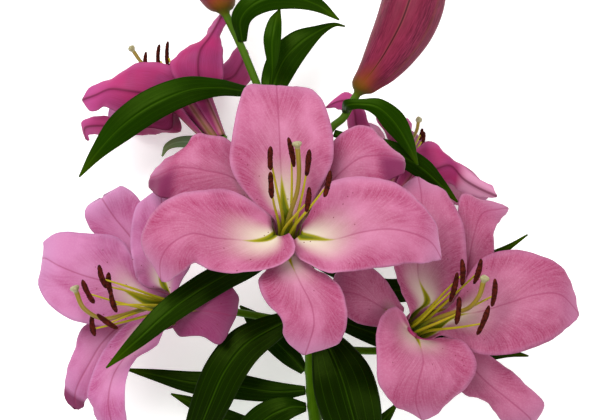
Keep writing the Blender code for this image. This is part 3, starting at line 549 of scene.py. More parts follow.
for flower_name, sizes in FLOWERS.items():
    flower = Flower(sizes)
    filaments = new_shape()
    anthers = new_shape()
    free = list(FILAMENT_ANGLES)
    for low_end, high_end in sizes["anthers"]:
        low_end = np.array(low_end, dtype=float)
        high_end = np.array(high_end, dtype=float)
        degrees = min(free, key=lambda angle: np.linalg.norm(flower.place(*ANTHER_CIRCLE, angle) - low_end))
        free.remove(degrees)
        long_way = unit(high_end - low_end)
        held = low_end + (high_end - low_end) * HELD_AT
        leaves = flower.place(*FILAMENT_LEAVES, degrees)
        behind = unit((leaves - held) - long_way * (leaves - held).dot(long_way))
        joint = held + behind * ANTHER_RADIUS * HELD_BEHIND
        bend = joint * FILAMENT_BEND + leaves * (1 - FILAMENT_BEND)
        course = [flower.place(*step, degrees) for step in FILAMENT_COURSE]
        line = curve_through((*course, bend, joint), FILAMENT_RINGS)
        add_tube(filaments, line, np.linspace(FILAMENT_BASE, FILAMENT_TIP, FILAMENT_RINGS), FILAMENT_SIDES)
        share = np.linspace(0, 1, ANTHER_RINGS)
        bow = ANTHER_BOW * (0.5 - 4 * (share - 0.5) ** 2)
        line = low_end + np.outer(share, high_end - low_end) - np.outer(bow, behind)
        plump = (1 - np.abs(2 * share - 1) ** ANTHER_ENDS[0]) ** ANTHER_ENDS[1]
        radii = ANTHER_RADIUS * sizes["organs"] * plump + ANTHER_TIP
        radii *= 1 + LUMP_HEIGHT * np.sin(share * LUMP_TURNS + random.uniform(0, 6))
        add_tube(anthers, line, radii, ANTHER_SIDES, outline=anther_outline)
    for kind, shape, finish, slot in (("filaments", filaments, filament_skin, "stem"),
                                      ("anthers", anthers, pollen_grains, "pollen")):
        piece = make_piece(f"{flower_name}_flower_{kind}", shape, (finish,))
        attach(piece, "root")
        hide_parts(f"{flower_name}_flower_stamens")

# The tepals. Waxy rose-pink blades, 1.3 mm thick at the midrib and thinner at the edge, with a channel along
# the midrib inside, a keel outside, and an edge that waves a little. Three broad inner petals and three
# narrower outer sepals form a tube on the flower's seat, then spread and curl back.
TUBE_HEIGHTS = {"inner": (0.6, 20.0, 40.0), "outer": (0.6, 18.0, 35.0)}
TUBE_RADII = {"inner": (4.7, 7.9, 11.2), "outer": (6.3, 10.4, 15.0)}
TUBE_HALF_WIDTHS = {"inner": (2.9, 6.7, 9.9), "outer": (3.2, 6.4, 9.8)}
TEPAL_ROWS = 54
TEPAL_COLUMNS = 32
TEPAL_MIDDLE = 1.3
TEPAL_EDGE = 0.4
TEPAL_EDGE_TAPER = 0.6
# A blade's columns stand closer together at the midrib than at the edges.
COLUMN_CROWDING = 1.25
MIDRIB_REACH = 5.0
MIDRIB_FADE = 0.6
CHANNEL_DEPTH = 0.7
CHANNEL_HALF = 1.1
CHANNEL_FADE = 0.55
WAVE_HEIGHT = 0.9
WAVE_LENGTH = 27.0
RIPPLE_HEIGHT = 0.35
# The wave is full at this part of the length past the throat.
WAVE_FULL_AT = 0.25
# How fast the wave and the ripple of each edge go, in waves for each wave length: the left, then the right.
EDGE_RATES = ((1.0, 2.7), (1.08, 2.9))
TIP_POWER = 26
TIP_CLOSES_TO = 0.985
FURROW_STARTS = {"inner": 0.0, "outer": 9.0}
# Each tepal is inner or outer, and has its angle round the axis, how deep its rose is from 0 to 1, which also
# paints in the shade of tepals that turn away from the light, and its sections past the tube. A section is
# its left edge, midrib and right edge, for someone who looks along it to its tip with its inner face towards
# them, or else its midrib, its half width and its roll in degrees.
TEPALS = {
    "front top_petal": ("inner", 90, 0.4, (
        ((-20, 13, -3), (-2, 14, -7), (15, 13, -3)), ((-37, 37, 1), (-4, 37, -3), (29, 39, 1)),
        ((-37, 57, 0), (-5, 59, -3), (31, 57, 0)), ((-33, 79, -5), (-6, 79, -7), (26, 79, -5)),
        ((-28, 93, -12), (-7, 93, -13), (18, 91, -12)), ((-18, 95, -22), (-7, 92, -26), (4, 92, -22)),
    )),
    "front left_petal": ("inner", 210, 0.45, (
        ((2, -5, 17), (-8, -6, 5), (-11, 7, -1)), ((5, -17, 26), (-14, -9, 8), (-21, 15, 4)),
        ((-10, -28, 27), (-23, -10, 11), (-31, 21, 7)), ((-31, -31, 24), (-34, -9, 15), (-42, 25, 9)),
        ((-48, -30, 22), (-47, -8, 20), (-53, 24, 12)), ((-60, -25, 20), (-63, -5, 24), (-70, 22, 14)),
        ((-67, -28, 16), (-77, -12, 22), (-90, 9, 12)), ((-73, -34, 12), (-84, -23, 17), (-97, -10, 9)),
        ((-80, -40, 9), (-84, -36, 10), (-90, -30, 8)),
    )),
    "front right_petal": ("inner", 330, 0.3, (
        ((13, 5, 1), (9, -7, 4), (3, -13, 10)), ((19, 17, 6), (18, -8, 7), (9, -22, 20)),
        ((28, 29, 9), (31, -9, 12), (25, -30, 23)), ((48, 33, 12), (50, -4, 19), (44, -30, 21)),
        ((68, 30, 14), (68, -2, 23), (66, -27, 20)), ((86, 19, 13), (84, -5, 20), (82, -25, 17)),
        ((98, 3, 10), (96, -11, 15), (92, -25, 13)), ((104, -16, 8), (103, -22, 9), (99, -26, 9)),
    )),
    "front upper_left_sepal": ("outer", 150, 0.5, (
        ((-18, 4, -12), (-17, 16, -17), (-13, 25, -16)), ((-36, 12, -10), (-36, 32, -12), (-36, 55, -16)),
        ((-54, 13, -9), (-54, 37, -8), (-52, 61, -14)), ((-72, 16, -12), (-67, 39, -8), (-61, 61, -14)),
        ((-79, 18, -13), (-76, 38, -9), (-68, 54, -14)), ((-86, 20, -16), (-83, 35, -14), (-77, 47, -18)),
        ((-90, 22, -22), (-88, 33, -21), (-84, 42, -23)), ((-93, 24, -26), (-92, 32, -26), (-89, 38, -25)),
        ((-90, 25, -31), (-89, 31, -31), (-86, 36, -30)),
    )),
    "front upper_right_sepal": ("outer", 30, 0.5, (
        ((15, 25, -15), (18, 16, -17), (20, 5, -11)), ((28, 53, -16), (34, 34, -14), (38, 13, -8)),
        ((43, 66, -17), (48, 45, -12), (52, 22, -8)), ((54, 67, -20), (58, 47, -14), (63, 27, -12)),
        ((61, 60, -24), (67, 47, -16), (70, 31, -15)), ((70, 53, -26), (76, 45, -20), (77, 35, -19)),
        ((76, 48, -29), (79, 43, -25), (78, 36, -24)), ((75, 44, -33), (77, 40, -31), (76, 34, -29)),
    )),
    "front lower_sepal": ("outer", 270, 0.5, (
        ((17, -28, 5), (2, -23, 10), (-12, -26, 4)), ((34, -38, 11), (9, -38, 14), (-19, -36, 11)),
        ((39, -52, 12), (16, -52, 15), (-14, -51, 12)), ((40, -66, 9), (18, -65, 14), (-3, -62, 11)),
        ((34, -78, 3), (15, -77, 8), (-3, -74, 5)), ((20, -85, -2), (12, -86, 1), (4, -82, -1)),
    )),
    "left upper_left_petal": ("inner", 169, 0.25, (
        ((-104, -66, -54), (-101, -48, -58), (-98, -34, -60)),
        ((-122, -67, -46), (-118, -39, -54), (-112, -9, -58)),
        ((-142, -64, -42), (-138, -33, -50), (-134, -5, -56)),
        ((-159, -54, -44), (-153, -27, -50), (-151, -4, -58)),
        ((-168, -42, -50), (-162, -22, -54), (-164, -8, -60)),
        ((-169, -36, -57), (-165, -22, -60), (-165, -9, -65)),
    )),
    "left right_petal": ("inner", 49, 0.05, (
        ((-97, -40, -44), (-84, -36, -46), (-72, -40, -42)),
        ((-103, -28, -36), (-84, -20, -40), (-64, -24, -36)),
        ((-105, -8, -34), (-83, -2, -36), (-60, -4, -34)), ((-102, 12, -36), (-84, 14, -36), (-66, 12, -38)),
        ((-94, 23, -40), (-85, 25, -42), (-76, 22, -42)),
    )),
    "left lower_petal": ("inner", 289, 0.4, (
        ((-81, -67, -44), (-92, -66, -50), (-104, -64, -50)),
        ((-88, -80, -40), (-104, -82, -42), (-119, -77, -42)),
        ((-105, -94, -36), (-116, -99, -38), (-130, -97, -38)),
        ((-109, -116, -36), (-120, -118, -36), (-134, -114, -40)),
        ((-107, -132, -42), (-117, -136, -40), (-129, -126, -44)),
        ((-111, -145, -50), (-117, -147, -48), (-124, -142, -50)),
    )),
    "left upper_sepal": ("outer", 109, 0.1, (
        ((-100, -34, -70), (-92, -32, -72), (-84, -34, -68)),
        ((-117, -16, -72), (-104, -10, -70), (-90, -10, -66)),
        ((-132, -3, -74), (-116, 5, -70), (-98, 15, -66)), ((-138, 9, -75), (-124, 17, -70), (-109, 27, -68)),
        ((-135, 13, -82), (-125, 19, -79), (-113, 26, -78)),
    )),
    "left lower_left_sepal": ("outer", 229, 0.25, (
        ((-102, -72, -62), (-109, -66, -66), (-114, -56, -70)),
        ((-112, -86, -62), (-124, -78, -64), (-137, -68, -68)),
        ((-122, -100, -64), (-134, -94, -62), (-144, -85, -66)),
        ((-132, -113, -66), (-141, -107, -64), (-149, -100, -66)),
        ((-136, -119, -70), (-143, -115, -68), (-151, -109, -70)),
        ((-134, -123, -76), (-142, -124, -75), (-151, -120, -76)),
    )),
    "left right_sepal": ("outer", 349, 1.0, (
        ((-64, -47, -37), (-66, -57, -32), (-77, -68, -40)),
        ((-55, -42, -33), (-57, -57, -28), (-71, -74, -38)),
        ((-43, -38, -34), (-47, -58, -28), (-58, -74, -31)),
        ((-34, -45, -38), (-38, -60, -34), (-46, -80, -36)),
        ((-31, -52, -44), (-34, -60, -42), (-41, -72, -44)),
    )),
    "right top_petal": ("inner", 118, 0.4, (
        ((81, -53, -34), (94, -50, -40), (106, -50, -40)), ((74, -38, -24), (88, -34, -32), (119, -38, -34)),
        ((72, -18, -18), (88, -14, -26), (120, -13, -30)), ((70, 4, -18), (90, 6, -24), (117, 4, -29)),
        ((72, 18, -26), (90, 20, -29), (108, 21, -33)), ((76, 30, -42), (88, 33, -42), (98, 29, -43)),
    )),
    "right right_petal": ("inner", -2, 0.6, (
        ((111, -52, -40), (112, -61, -42), (106, -74, -42)),
        ((129, -23, -32), (131, -57, -30), (126, -85, -27)),
        ((152, -16, -28), (150, -51, -22), (147, -86, -20)),
        ((173, -21, -30), (167, -46, -22), (167, -81, -24)),
        ((189, -33, -36), (183, -46, -29), (184, -72, -32)),
        ((194, -52, -42), (196, -59, -40), (194, -65, -40)),
    )),
    "right lower_petal": ("inner", 238, 0.5, (
        ((103, -75, -37), (85, -73, -41), (73, -54, -32)), ((118, -77, -22), (89, -80, -26), (61, -64, -17)),
        ((127, -92, -18), (91, -91, -14), (60, -88, -10)),
        ((122, -105, -20), (88, -103, -12), (61, -105, -12)),
        ((108, -119, -26), (86, -117, -17), (70, -118, -18)),
        ((97, -130, -34), (90, -130, -30), (84, -127, -28)),
    )),
    "right upper_right_sepal": ("outer", 58, 0.35, (
        ((106, -46, -52), (110, -54, -54), (117, -58, -52)),
        ((112, -24, -46), (120, -32, -46), (130, -36, -48)), ((114, 4, -44), (125, -8, -44), (139, -17, -48)),
        ((118, 22, -50), (131, 8, -47), (139, -2, -50)), ((133, 17, -56), (142, 11, -54), (145, 4, -55)),
        ((147, 15, -62), (149, 12, -62), (150, 9, -62)),
    )),
    "right lower_right_sepal": ("outer", -62, 0.2, (
        ((117, -72, -50), (110, -76, -52), (102, -80, -50)),
        ((132, -84, -46), (122, -92, -48), (108, -97, -48)),
        ((146, -94, -48), (134, -105, -44), (118, -112, -46)),
        ((159, -105, -50), (149, -117, -46), (136, -120, -50)),
        ((173, -119, -56), (162, -128, -54), (146, -134, -56)),
        ((171, -130, -64), (166, -134, -64), (158, -137, -64)),
    )),
    "right left_sepal": ("outer", 178, 0.55, (
        ((74, -69, -42), (72, -60, -44), (75, -50, -42)), ((62, -68, -36), (61, -53, -34), (66, -36, -32)),
        ((50, -66, -30), (48, -46, -28), (53, -26, -28)), ((41, -62, -30), (37, -44, -28), (38, -28, -30)),
        ((33, -54, -36), (28, -44, -36), (30, -34, -36)),
    )),
    "upper_left left_petal": ("inner", -120, 0.35, (
        ((-68, 98, -70), (-80, 86, -66), (-84, 77, -76)), ((-81, 109, -66), (-93, 89, -60), (-94, 75, -68)),
        ((-98, 110, -65), (-107, 91, -58), (-108, 75, -64)),
        ((-114, 102, -66), (-119, 92, -61), (-122, 80, -65)),
        ((-126, 97, -69), (-129, 88, -66), (-129, 77, -69)),
        ((-136, 92, -75), (-138, 85, -74), (-136, 77, -75)),
    )),
    "upper_left right_petal": ("inner", 0, 0.9, (
        ((-42, 90, -96), (-45, 98, -90), (-49, 106, -92)),
        ((-32, 92, -100), (-37, 101, -93), (-43, 110, -96)),
        ((-25, 100, -104), (-32, 108, -97), (-38, 116, -102)),
        ((-24, 110, -110), (-29, 115, -104), (-34, 121, -108)),
        ((-27, 118, -118), (-30, 121, -115), (-34, 123, -118)),
    )),
    "upper_left under_petal": ("inner", 120, 0.35, (
        (-77, 84, -104, 12, 0), (-88, 84, -115, 19, 0), (-102, 80, -125, 18, 0), (-114, 76, -131, 12, 0),
        (-122, 72, -134.6, 4, 0),
    )),
    "upper_left upper_sepal": ("outer", -60, 0.35, (
        ((-46, 92, -72), (-57, 90, -66), (-67, 88, -66)), ((-43, 104, -67), (-60, 104, -59), (-79, 107, -61)),
        ((-43, 115, -67), (-59, 117, -59), (-73, 116, -61)),
        ((-45, 125, -72), (-52, 127, -67), (-60, 124, -70)),
        ((-42, 136, -82), (-46, 138, -80), (-51, 135, -83)),
        ((-38, 146, -91), (-42, 147, -91), (-46, 146, -93)),
    )),
    "upper_left lower_left_sepal": ("outer", 176, 0.35, (
        ((-85, 73, -82), (-79, 66, -85), (-72, 63, -92)), ((-97, 72, -82), (-92, 67, -84), (-88, 63, -94)),
        ((-112, 72, -82), (-110, 67, -80), (-106, 60, -88)),
        ((-130, 74, -86), (-128, 68, -84), (-124, 60, -90)),
        ((-139, 71, -92), (-137, 66, -92), (-134, 62, -94)),
        ((-138, 64, -98), (-135, 58, -98), (-132, 56, -98)),
    )),
    "upper_left under_sepal": ("outer", 75, 0.35, (
        (-62, 91, -111, 9, 0), (-60, 99, -120, 13, 0), (-59, 106, -127, 12, 0), (-58, 111, -132, 7, 0),
        (-58, 115, -134.6, 3, 0),
    )),
    "back_right front_petal": ("inner", -90, 0.8, (
        ((85, 58, -87), (76, 60, -80), (67, 60, -90)), ((85, 64, -88), (75, 67, -79), (62, 69, -90)),
        ((83, 70, -94), (74, 72, -88), (61, 76, -96)), ((79, 74, -102), (74, 75, -101), (69, 77, -104)),
    )),
    "back_right right_under_petal": ("inner", 30, 0.35, (
        (94, 37, -109, 13, 0), (108, 31, -117, 14, 0), (120, 26, -125, 13, 0), (130, 22, -131, 9, 0),
        (138, 20, -134.6, 4, 0),
    )),
    "back_right left_under_petal": ("inner", 150, 0.35, (
        (60, 52, -114, 9, 0), (56, 60, -124, 10, 0), (55, 66, -131, 8, 0), (55, 70, -134.4, 4, 0),
    )),
    "back_right left_sepal": ("outer", -150, 0.35, (
        ((59, 63, -87), (51, 60, -90), (45, 55, -98)), ((54, 71, -88), (47, 69, -87), (41, 65, -95)),
        ((52, 78, -88), (46, 76, -86), (40, 71, -93)), ((50, 84, -90), (43, 84, -88), (38, 78, -93)),
        ((40, 90, -95), (35, 84, -93), (33, 79, -96)), ((27, 82, -99), (26, 80, -99), (26, 79, -99)),
    )),
    "back_right right_sepal": ("outer", -30, 0.0, (
        ((88, 31, -92), (90, 42, -87), (88, 53, -91)), ((98, 27, -90), (98, 38, -83), (97, 57, -88)),
        ((111, 29, -90), (110, 41, -82), (108, 49, -86)), ((115, 24, -92), (119, 32, -86), (120, 39, -88)),
        ((126, 21, -98), (129, 26, -94), (132, 31, -96)), ((139, 17, -106), (142, 20, -104), (141, 26, -106)),
    )),
    "back_right under_sepal": ("outer", 90, 0.35, (
        (78, 46, -122, 10, 0), (80, 53, -128, 13, 0), (82, 60, -132, 11, 0), (83, 66, -134.6, 5, 0),
    )),
}
# Tepals whose curled tip gets painted shade, a deeper rose where the curl turns away from the light: the
# share of the length where that starts, how much deeper it is, and the edge that it keeps to, -1 for the left
# one, 1 for the right one and 0 for both.
TIP_SHADES = {"front upper_left_sepal": (0.69, 0.6, -1), "front upper_right_sepal": (0.69, 0.6, 1),
             "left lower_left_sepal": (0.84, 0.85, 0)}
TIP_FADE = 0.07
# How far the painted shade of one edge is short of full at the midrib, and how fast it grows towards the
# edge.
TIP_SHORT = 0.4
TIP_GROWTH = 1.4
SMOOTH = "SMOOTHSTEP"

# Lily tepal, inner side: waxy cells in fine ranks, 1.2 mm apart, that leave the midrib and run out to the
# edge. Rose with paler lilac edges, cream at the throat, a yellow-green nectar furrow and a few dark specks.
# For each flower: its deep rose, its light rose, the lilac of its edges, and the share of places that have no
# speck.
INSIDE_COLOURS = {
    "front": ("#8e2b54", "#b06385", "#b27a9c", 0.88),
    "left": ("#983a6c", "#b56e99", "#b482a8", 0.72),
    "right": ("#8b3055", "#ab5f7f", "#a86c8e", 0.9),
    "upper_left": ("#8c3560", "#ad6590", "#a06690", 0.9),
    "back_right": ("#92405f", "#b0708c", "#a06888", 0.9),
}
VEIN_REACH = 40.0
tepal_inside = {}
for flower_name, (deep, light, edge, speck_from) in INSIDE_COLOURS.items():
    finish = new_finish(f"lily_tepal_inside_{flower_name}", Roughness=0.52, Specular_IOR_Level=0.15)
    along, across = marks_of(finish)
    length, width = marks_of(finish, "millimetres")
    tone, patch = marks_of(finish, "tone")
    off_middle = add_node(finish, "Math", [across], operation="ABSOLUTE")
    beside = add_node(finish, "Math", [width], operation="ABSOLUTE")
    inward = add_node(finish, "Math", [1.0, off_middle], operation="SUBTRACT")
    bend = add_node(finish, "Math", [inward, inward], operation="MULTIPLY")
    rank = add_node(finish, "Math", [bend, VEIN_REACH, length], operation="MULTIPLY_ADD")
    ranks = streaks(finish, rank, 0.85, across, 2.2, Detail=3.0, Roughness=0.6)
    cloud_place = add_node(finish, "CombineXYZ", [
        add_node(finish, "Math", [length, 0.035], operation="MULTIPLY"),
        add_node(finish, "Math", [width, 0.06], operation="MULTIPLY"), patch])
    clouds = add_node(finish, "TexNoise", {"Vector": cloud_place, "Scale": 1.0, "Detail": 2.0})
    blush = add_node(finish, "MapRange", [clouds, 0.3, 0.7, 0.05, 1.4])
    # The tone, which carries painted shade as well as the tepal's own depth of rose, pulls the rose deeper.
    blush = add_node(finish, "Math", [blush, tone], operation="SUBTRACT", use_clamp=True)
    rose = add_node(finish, "Mix", [blush, deep, light], data_type="RGBA")
    place = add_node(finish, "NewGeometry").outputs["Position"]
    glints = add_node(finish, "TexNoise", {"Vector": place, "Scale": 900.0, "Detail": 2.0})
    speck_place = add_node(finish, "CombineXYZ", [length, width, 0.0])
    specks = add_node(finish, "TexVoronoi", {"Vector": speck_place, "Scale": 0.26})
    speck_pick = add_node(finish, "SeparateColor", [specks.outputs["Color"]])
    furrow_half = add_node(finish, "MapRange", [length, -6.0, 29.0, 5.0, 0.0])
    furrow = add_node(finish, "Math", [furrow_half, beside], operation="SUBTRACT")
    furrow_colour = lay_colours(finish, "#958c04", ("#566000", (furrow, 0.6, 2.6, 0.0, 1.0)))
    # In turn: the ranks, glints, the paler middle, the edge, the tip, painted shade on curled tips and shaded
    # tepals, the cream throat, the midrib, the specks, the nectar furrow, and the green foot of the tube.
    colour = lay_colours(
        finish, rose,
        (light, (ranks, 0.36, 0.66, 0.0, 0.58)),
        ("#c793ab", (glints, 0.45, 0.75, 0.0, 0.17)),
        ("#bf8aa0", (along, 0.15, 0.8, 0.4, 0.0), (off_middle, 0.15, 0.8, 1.0, 0.0, SMOOTH)),
        (edge, (off_middle, 0.86, 1.0, 0.0, 0.4, SMOOTH)),
        (edge, (along, 0.74, 1.0, 0.0, 0.7, SMOOTH)),
        # Painted shade: a deeper rose where the tone is high, on curled tips and on tepals that face away
        # from the light.
        ("#6f1f48", (tone, 0.6, 1.1, 0.0, 0.94)),
        ("#cdc4ac", (along, 0.02, 0.45, 1.0, 0.0, SMOOTH), (off_middle, 0.08, 0.72, 1.0, 0.0, SMOOTH)),
        ("#84264e", (beside, 0.2, 0.8, 0.5, 0.0), (length, 20.0, 40.0, 0.0, 1.0)),
        ("#661a2b", (specks.outputs["Distance"], 0.09, 0.14, 0.85, 0.0),
         (speck_pick, speck_from, speck_from + 0.01, 0.0, 1.0), (length, 40.0, 60.0, 1.0, 0.0)),
        (furrow_colour, (furrow, -0.5, 0.9, 0.0, 1.0, SMOOTH), (length, 26.0, 31.0, 1.0, 0.0)),
        ("#85842c", (length, -26.0, -2.0, 0.8, 0.0, SMOOTH)))
    bump = add_node(finish, "Bump", {"Height": ranks, "Strength": 0.25, "Distance": 0.0004})
    feed_shader(finish, Base_Color=colour, Normal=bump)
    tepal_inside[flower_name] = finish

# Lily tepal, outer side: the same wax over bright magenta, deeper beside a thin dark rib. Towards the stalk
# the rib is brown olive between two pale bands. Fine ranks run along it, 0.5 mm apart.
tepal_outside = new_finish("lily_tepal_outside", Roughness=0.5, Specular_IOR_Level=0.1)
along, across = marks_of(tepal_outside)
length, width = marks_of(tepal_outside, "millimetres")
tone = marks_of(tepal_outside, "tone")[0]
beside = add_node(tepal_outside, "Math", [width], operation="ABSOLUTE")
off_middle = add_node(tepal_outside, "Math", [across], operation="ABSOLUTE")
slant = add_node(tepal_outside, "Math", [off_middle, -30.0, length], operation="MULTIPLY_ADD")
ranks = streaks(tepal_outside, slant, 0.09, across, 34.0, Detail=3.0, Roughness=0.6)
place = add_node(tepal_outside, "NewGeometry").outputs["Position"]
clouds = add_node(tepal_outside, "TexNoise", {"Vector": place, "Scale": 38.0, "Detail": 2.0})
near_stalk = add_node(tepal_outside, "MapRange", [length, -34.0, 14.0, 1.0, 0.0], interpolation_type=SMOOTH)
rib_colour = add_node(tepal_outside, "Mix", [near_stalk, "#5a1030", "#654a10"], data_type="RGBA")
# In turn: the ranks, clouds, the tip, the faded ends of the palest tepals, the edge, the pale bands near the
# stalk, the deeper hollow beyond them, the rib, and the olive foot.
colour = lay_colours(
    tepal_outside, "#7c2349",
    ("#92356a", (ranks, 0.3, 0.7, 0.15, 0.85)),
    ("#a4265c", (clouds, 0.42, 0.66, 0.0, 0.7)),
    ("#ac4682", (along, 0.55, 1.0, 0.0, 0.75, SMOOTH)),
    ("#c98aa8", (tone, 0.0, 0.15, 0.9, 0.0), (along, 0.5, 0.66, 0.0, 1.0, SMOOTH)),
    ("#a84f80", (off_middle, 0.7, 1.0, 0.0, 0.5, SMOOTH)),
    ("#b88a72", (beside, 1.0, 3.0, 0.55, 0.0, SMOOTH), (length, -34.0, 14.0, 1.0, 0.0, SMOOTH)),
    ("#701a40", (beside, 0.6, 3.0, 0.35, 0.0, SMOOTH), (length, -34.0, 14.0, 0.0, 1.0, SMOOTH)),
    (rib_colour, (beside, 0.3, 1.1, 0.7, 0.0, SMOOTH)),
    ("#6b5216", (length, -44.0, -22.0, 0.85, 0.0, SMOOTH)))
bump = add_node(tepal_outside, "Bump", {"Height": ranks, "Strength": 0.3, "Distance": 0.0003})
feed_shader(tepal_outside, Base_Color=colour, Normal=bump)


def tube_rows(flower, kind, degrees):
    """The claw of a tepal, wrapped round the tube from the receptacle to the throat."""
    rows = []
    for height, radius, half in zip(TUBE_HEIGHTS[kind], TUBE_RADII[kind], TUBE_HALF_WIDTHS[kind]):
        wrap = math.degrees(half / radius)
        rows.append(tuple(flower.place(height, radius, degrees + turn) for turn in (wrap, 0, -wrap)))
    return rows


def strip_rows(strip):
    """The rows of a strip: each section is square to the midrib, and level but for its roll."""
    places = np.array([point[:3] for point in strip], dtype=float)
    ways = np.gradient(places, axis=0)
    rows = []
    for place, way, (half_width, roll) in zip(places, ways, [point[3:] for point in strip]):
        side = unit(np.cross(way, UP))
        normal = unit(np.cross(side, way))
        turn = math.radians(roll)
        side = side * math.cos(turn) + normal * math.sin(turn)
        rows.append((place - side * half_width, place, place + side * half_width))
    return rows


def add_blade(shape, grid, marks, half_thickness, sink):
    """A thin blade as a closed sheet: an inner skin, an outer skin and the rim between them. The grid is the
    sheet's middle, and sink moves both skins outwards, which makes a channel inside and a keel outside."""
    rows, columns = grid.shape[:2]
    normal = np.cross(np.gradient(grid, axis=1), np.gradient(grid, axis=0))
    normal /= np.maximum(np.linalg.norm(normal, axis=2), 1e-9)[:, :, None]
    first = len(shape["points"])
    for thickness in (half_thickness, -half_thickness):
        shape["points"].extend((grid + normal * (thickness - sink)[:, :, None]).reshape(-1, 3))

    def face(places, finish=0):
        add_face(shape, [first + (side * rows + row) * columns + column for row, column, side in places],
                 [marks[row, column] for row, column, side in places], finish)

    for row in range(rows - 1):
        for column in range(columns - 1):
            ring = ((row, column), (row, column + 1), (row + 1, column + 1), (row + 1, column))
            face([(*place, 0) for place in ring])
            face([(*place, 1) for place in reversed(ring)], 1)
        last = columns - 1
        face([(row, 0, 0), (row + 1, 0, 0), (row + 1, 0, 1), (row, 0, 1)])
        face([(row, last, 0), (row, last, 1), (row + 1, last, 1), (row + 1, last, 0)])
    for column in range(columns - 1):
        last = rows - 1
        face([(0, column, 0), (0, column, 1), (0, column + 1, 1), (0, column + 1, 0)])
        face([(last, column, 0), (last, column + 1, 0), (last, column + 1, 1), (last, column, 1)])


def blade_grid(rows, count, columns, narrowing):
    """The middle of a blade through its rows, its millimetres along and across, and its columns' shares."""
    sections = curve_through([np.concatenate(row) for row in rows], count + 1).reshape(count + 1, 3, 3)
    steps = np.linspace(-1, 1, columns + 1)
    v = np.sign(steps) * np.abs(steps) ** COLUMN_CROWDING
    left, middle, right = sections[:, 0], sections[:, 1], sections[:, 2]
    shrink = narrowing(np.linspace(0, 1, count + 1))[:, None, None]
    grid = middle[:, None] + shrink * (v[None, :, None] * (right - left)[:, None] / 2
                                       + (v ** 2)[None, :, None] * ((left + right) / 2 - middle)[:, None])
    width = np.array([distance_along(row) for row in grid])
    width -= width[:, columns // 2:columns // 2 + 1]
    return grid, distance_along(grid[:, columns // 2]), width, v


def blade_marks(along, across, length, width, tone, patch):
    """The marks of a blade: its shares along and across, its millimetres along and from the midrib, its tone,
    and where its blotches are taken from."""
    marks = np.empty((*width.shape, 6))
    for index, values in enumerate((along[:, None], across[None, :], length[:, None], width, tone, patch)):
        marks[:, :, index] = values
    return marks


def tepal_narrowing(share):
    """A tepal keeps its width until it closes to a round tip."""
    return np.sqrt(1 - TIP_CLOSES_TO * share ** TIP_POWER)


for tepal_key, (kind, degrees, tone, sections) in TEPALS.items():
    flower_name, tepal_name = tepal_key.split()
    sections = strip_rows(sections) if len(sections[0]) == 5 else list(sections)
    rows = np.array(tube_rows(Flower(FLOWERS[flower_name]), kind, degrees) + sections, dtype=float)
    grid, length, width, v = blade_grid(rows, TEPAL_ROWS, TEPAL_COLUMNS, tepal_narrowing)
    length = length - (step_lengths(rows[:3, 1]).sum() - FURROW_STARTS[kind])
    free = np.clip(length / length[-1], 0, 1)
    phase = random.uniform(0, 2 * math.pi, 4)
    turns = 2 * math.pi * length / WAVE_LENGTH
    left, right = [np.sin(turns * wave_rate + phase[2 * index])
                   + RIPPLE_HEIGHT * np.sin(turns * ripple_rate + phase[2 * index + 1])
                   for index, (wave_rate, ripple_rate) in enumerate(EDGE_RATES)]
    wave = np.where(v[None, :] < 0, left[:, None], right[:, None]) * np.abs(v)[None, :] ** 3
    wave = wave * np.clip(free / WAVE_FULL_AT, 0, 1)[:, None] * WAVE_HEIGHT
    midrib = np.exp(-(width / MIDRIB_REACH) ** 2) * (1 - MIDRIB_FADE * free)[:, None]
    half = TEPAL_EDGE / 2 + (TEPAL_MIDDLE - TEPAL_EDGE) / 2 * midrib
    half = np.minimum(half, TEPAL_EDGE / 2 + TEPAL_EDGE_TAPER * (1 - np.abs(v))[None, :])
    channel = CHANNEL_DEPTH * np.exp(-(width / CHANNEL_HALF) ** 2) * (1 - CHANNEL_FADE * free)[:, None]
    # Painted shade on a curled tip: a deeper tone from tip_start on, kept to one edge or to both.
    tip_start, tip_shade, tip_edge = TIP_SHADES.get(tepal_key, (1.0, 0.0, 0))
    tip = np.clip((free - tip_start) / TIP_FADE, 0, 1)[:, None]
    tip = tip * np.clip(1.0 - TIP_SHORT * abs(tip_edge) + TIP_GROWTH * tip_edge * v, 0, 1)[None, :]
    marks = blade_marks(length / length[-1], v, length, width, tone + tip_shade * tip, random.uniform(0, 20))
    shape = new_shape()
    add_blade(shape, grid, marks, half, channel + wave)
    finishes = (tepal_inside[flower_name], tepal_outside)
    piece = make_piece(f"{flower_name}_flower_{tepal_name}_blade", shape, finishes)
    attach(piece, "root")
    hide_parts(f"{flower_name}_flower_{tepal_name}")

# The two buds. Each is a closed, slightly three-sided pod of tepals on a green stalk, with a seam between
# each two outer tepals and a low keel down the middle of each; it is deep rose and olive at its base.
# The left bud ends the stem, and the right one's stalk grows from its side.
BUDS = {
    "left_bud": {
        "ends_stem": True,
        "stalk": (
            (6.6, 27, -74), (2, 42, -74), (-8, 65, -75), (-21, 97, -76), (-31, 121, -77), (-42, 144, -78),
        ),
        "body": (
            (-43, 148, -78.4), (-47, 157, -79), (-55, 176, -81), (-64, 199, -84), (-72, 221, -88),
            (-78, 238, -92),
        ),
        "radii": (8.5, 12.5, 16.5, 16.5, 12.0, 4.0),
    },
    "right_bud": {
        "ends_stem": False,
        "stalk": (
            (9, 12, -73), (15, 36, -74), (23, 54, -73), (30, 66, -72), (38, 73, -71), (43, 82, -70),
            (48, 90, -69),
        ),
        "body": (
            (50, 93.5, -68.6), (55.5, 99.5, -68), (62.8, 108, -67), (71, 120, -66), (79.8, 136, -65),
            (86, 153, -66), (91.5, 170, -67), (96, 184, -68.5), (98.5, 192, -70),
        ),
        "radii": (7.5, 10.0, 13.6, 17.0, 19.8, 20.3, 16.5, 10.0, 3.5),
    },
}
BUD_SIDES = 48
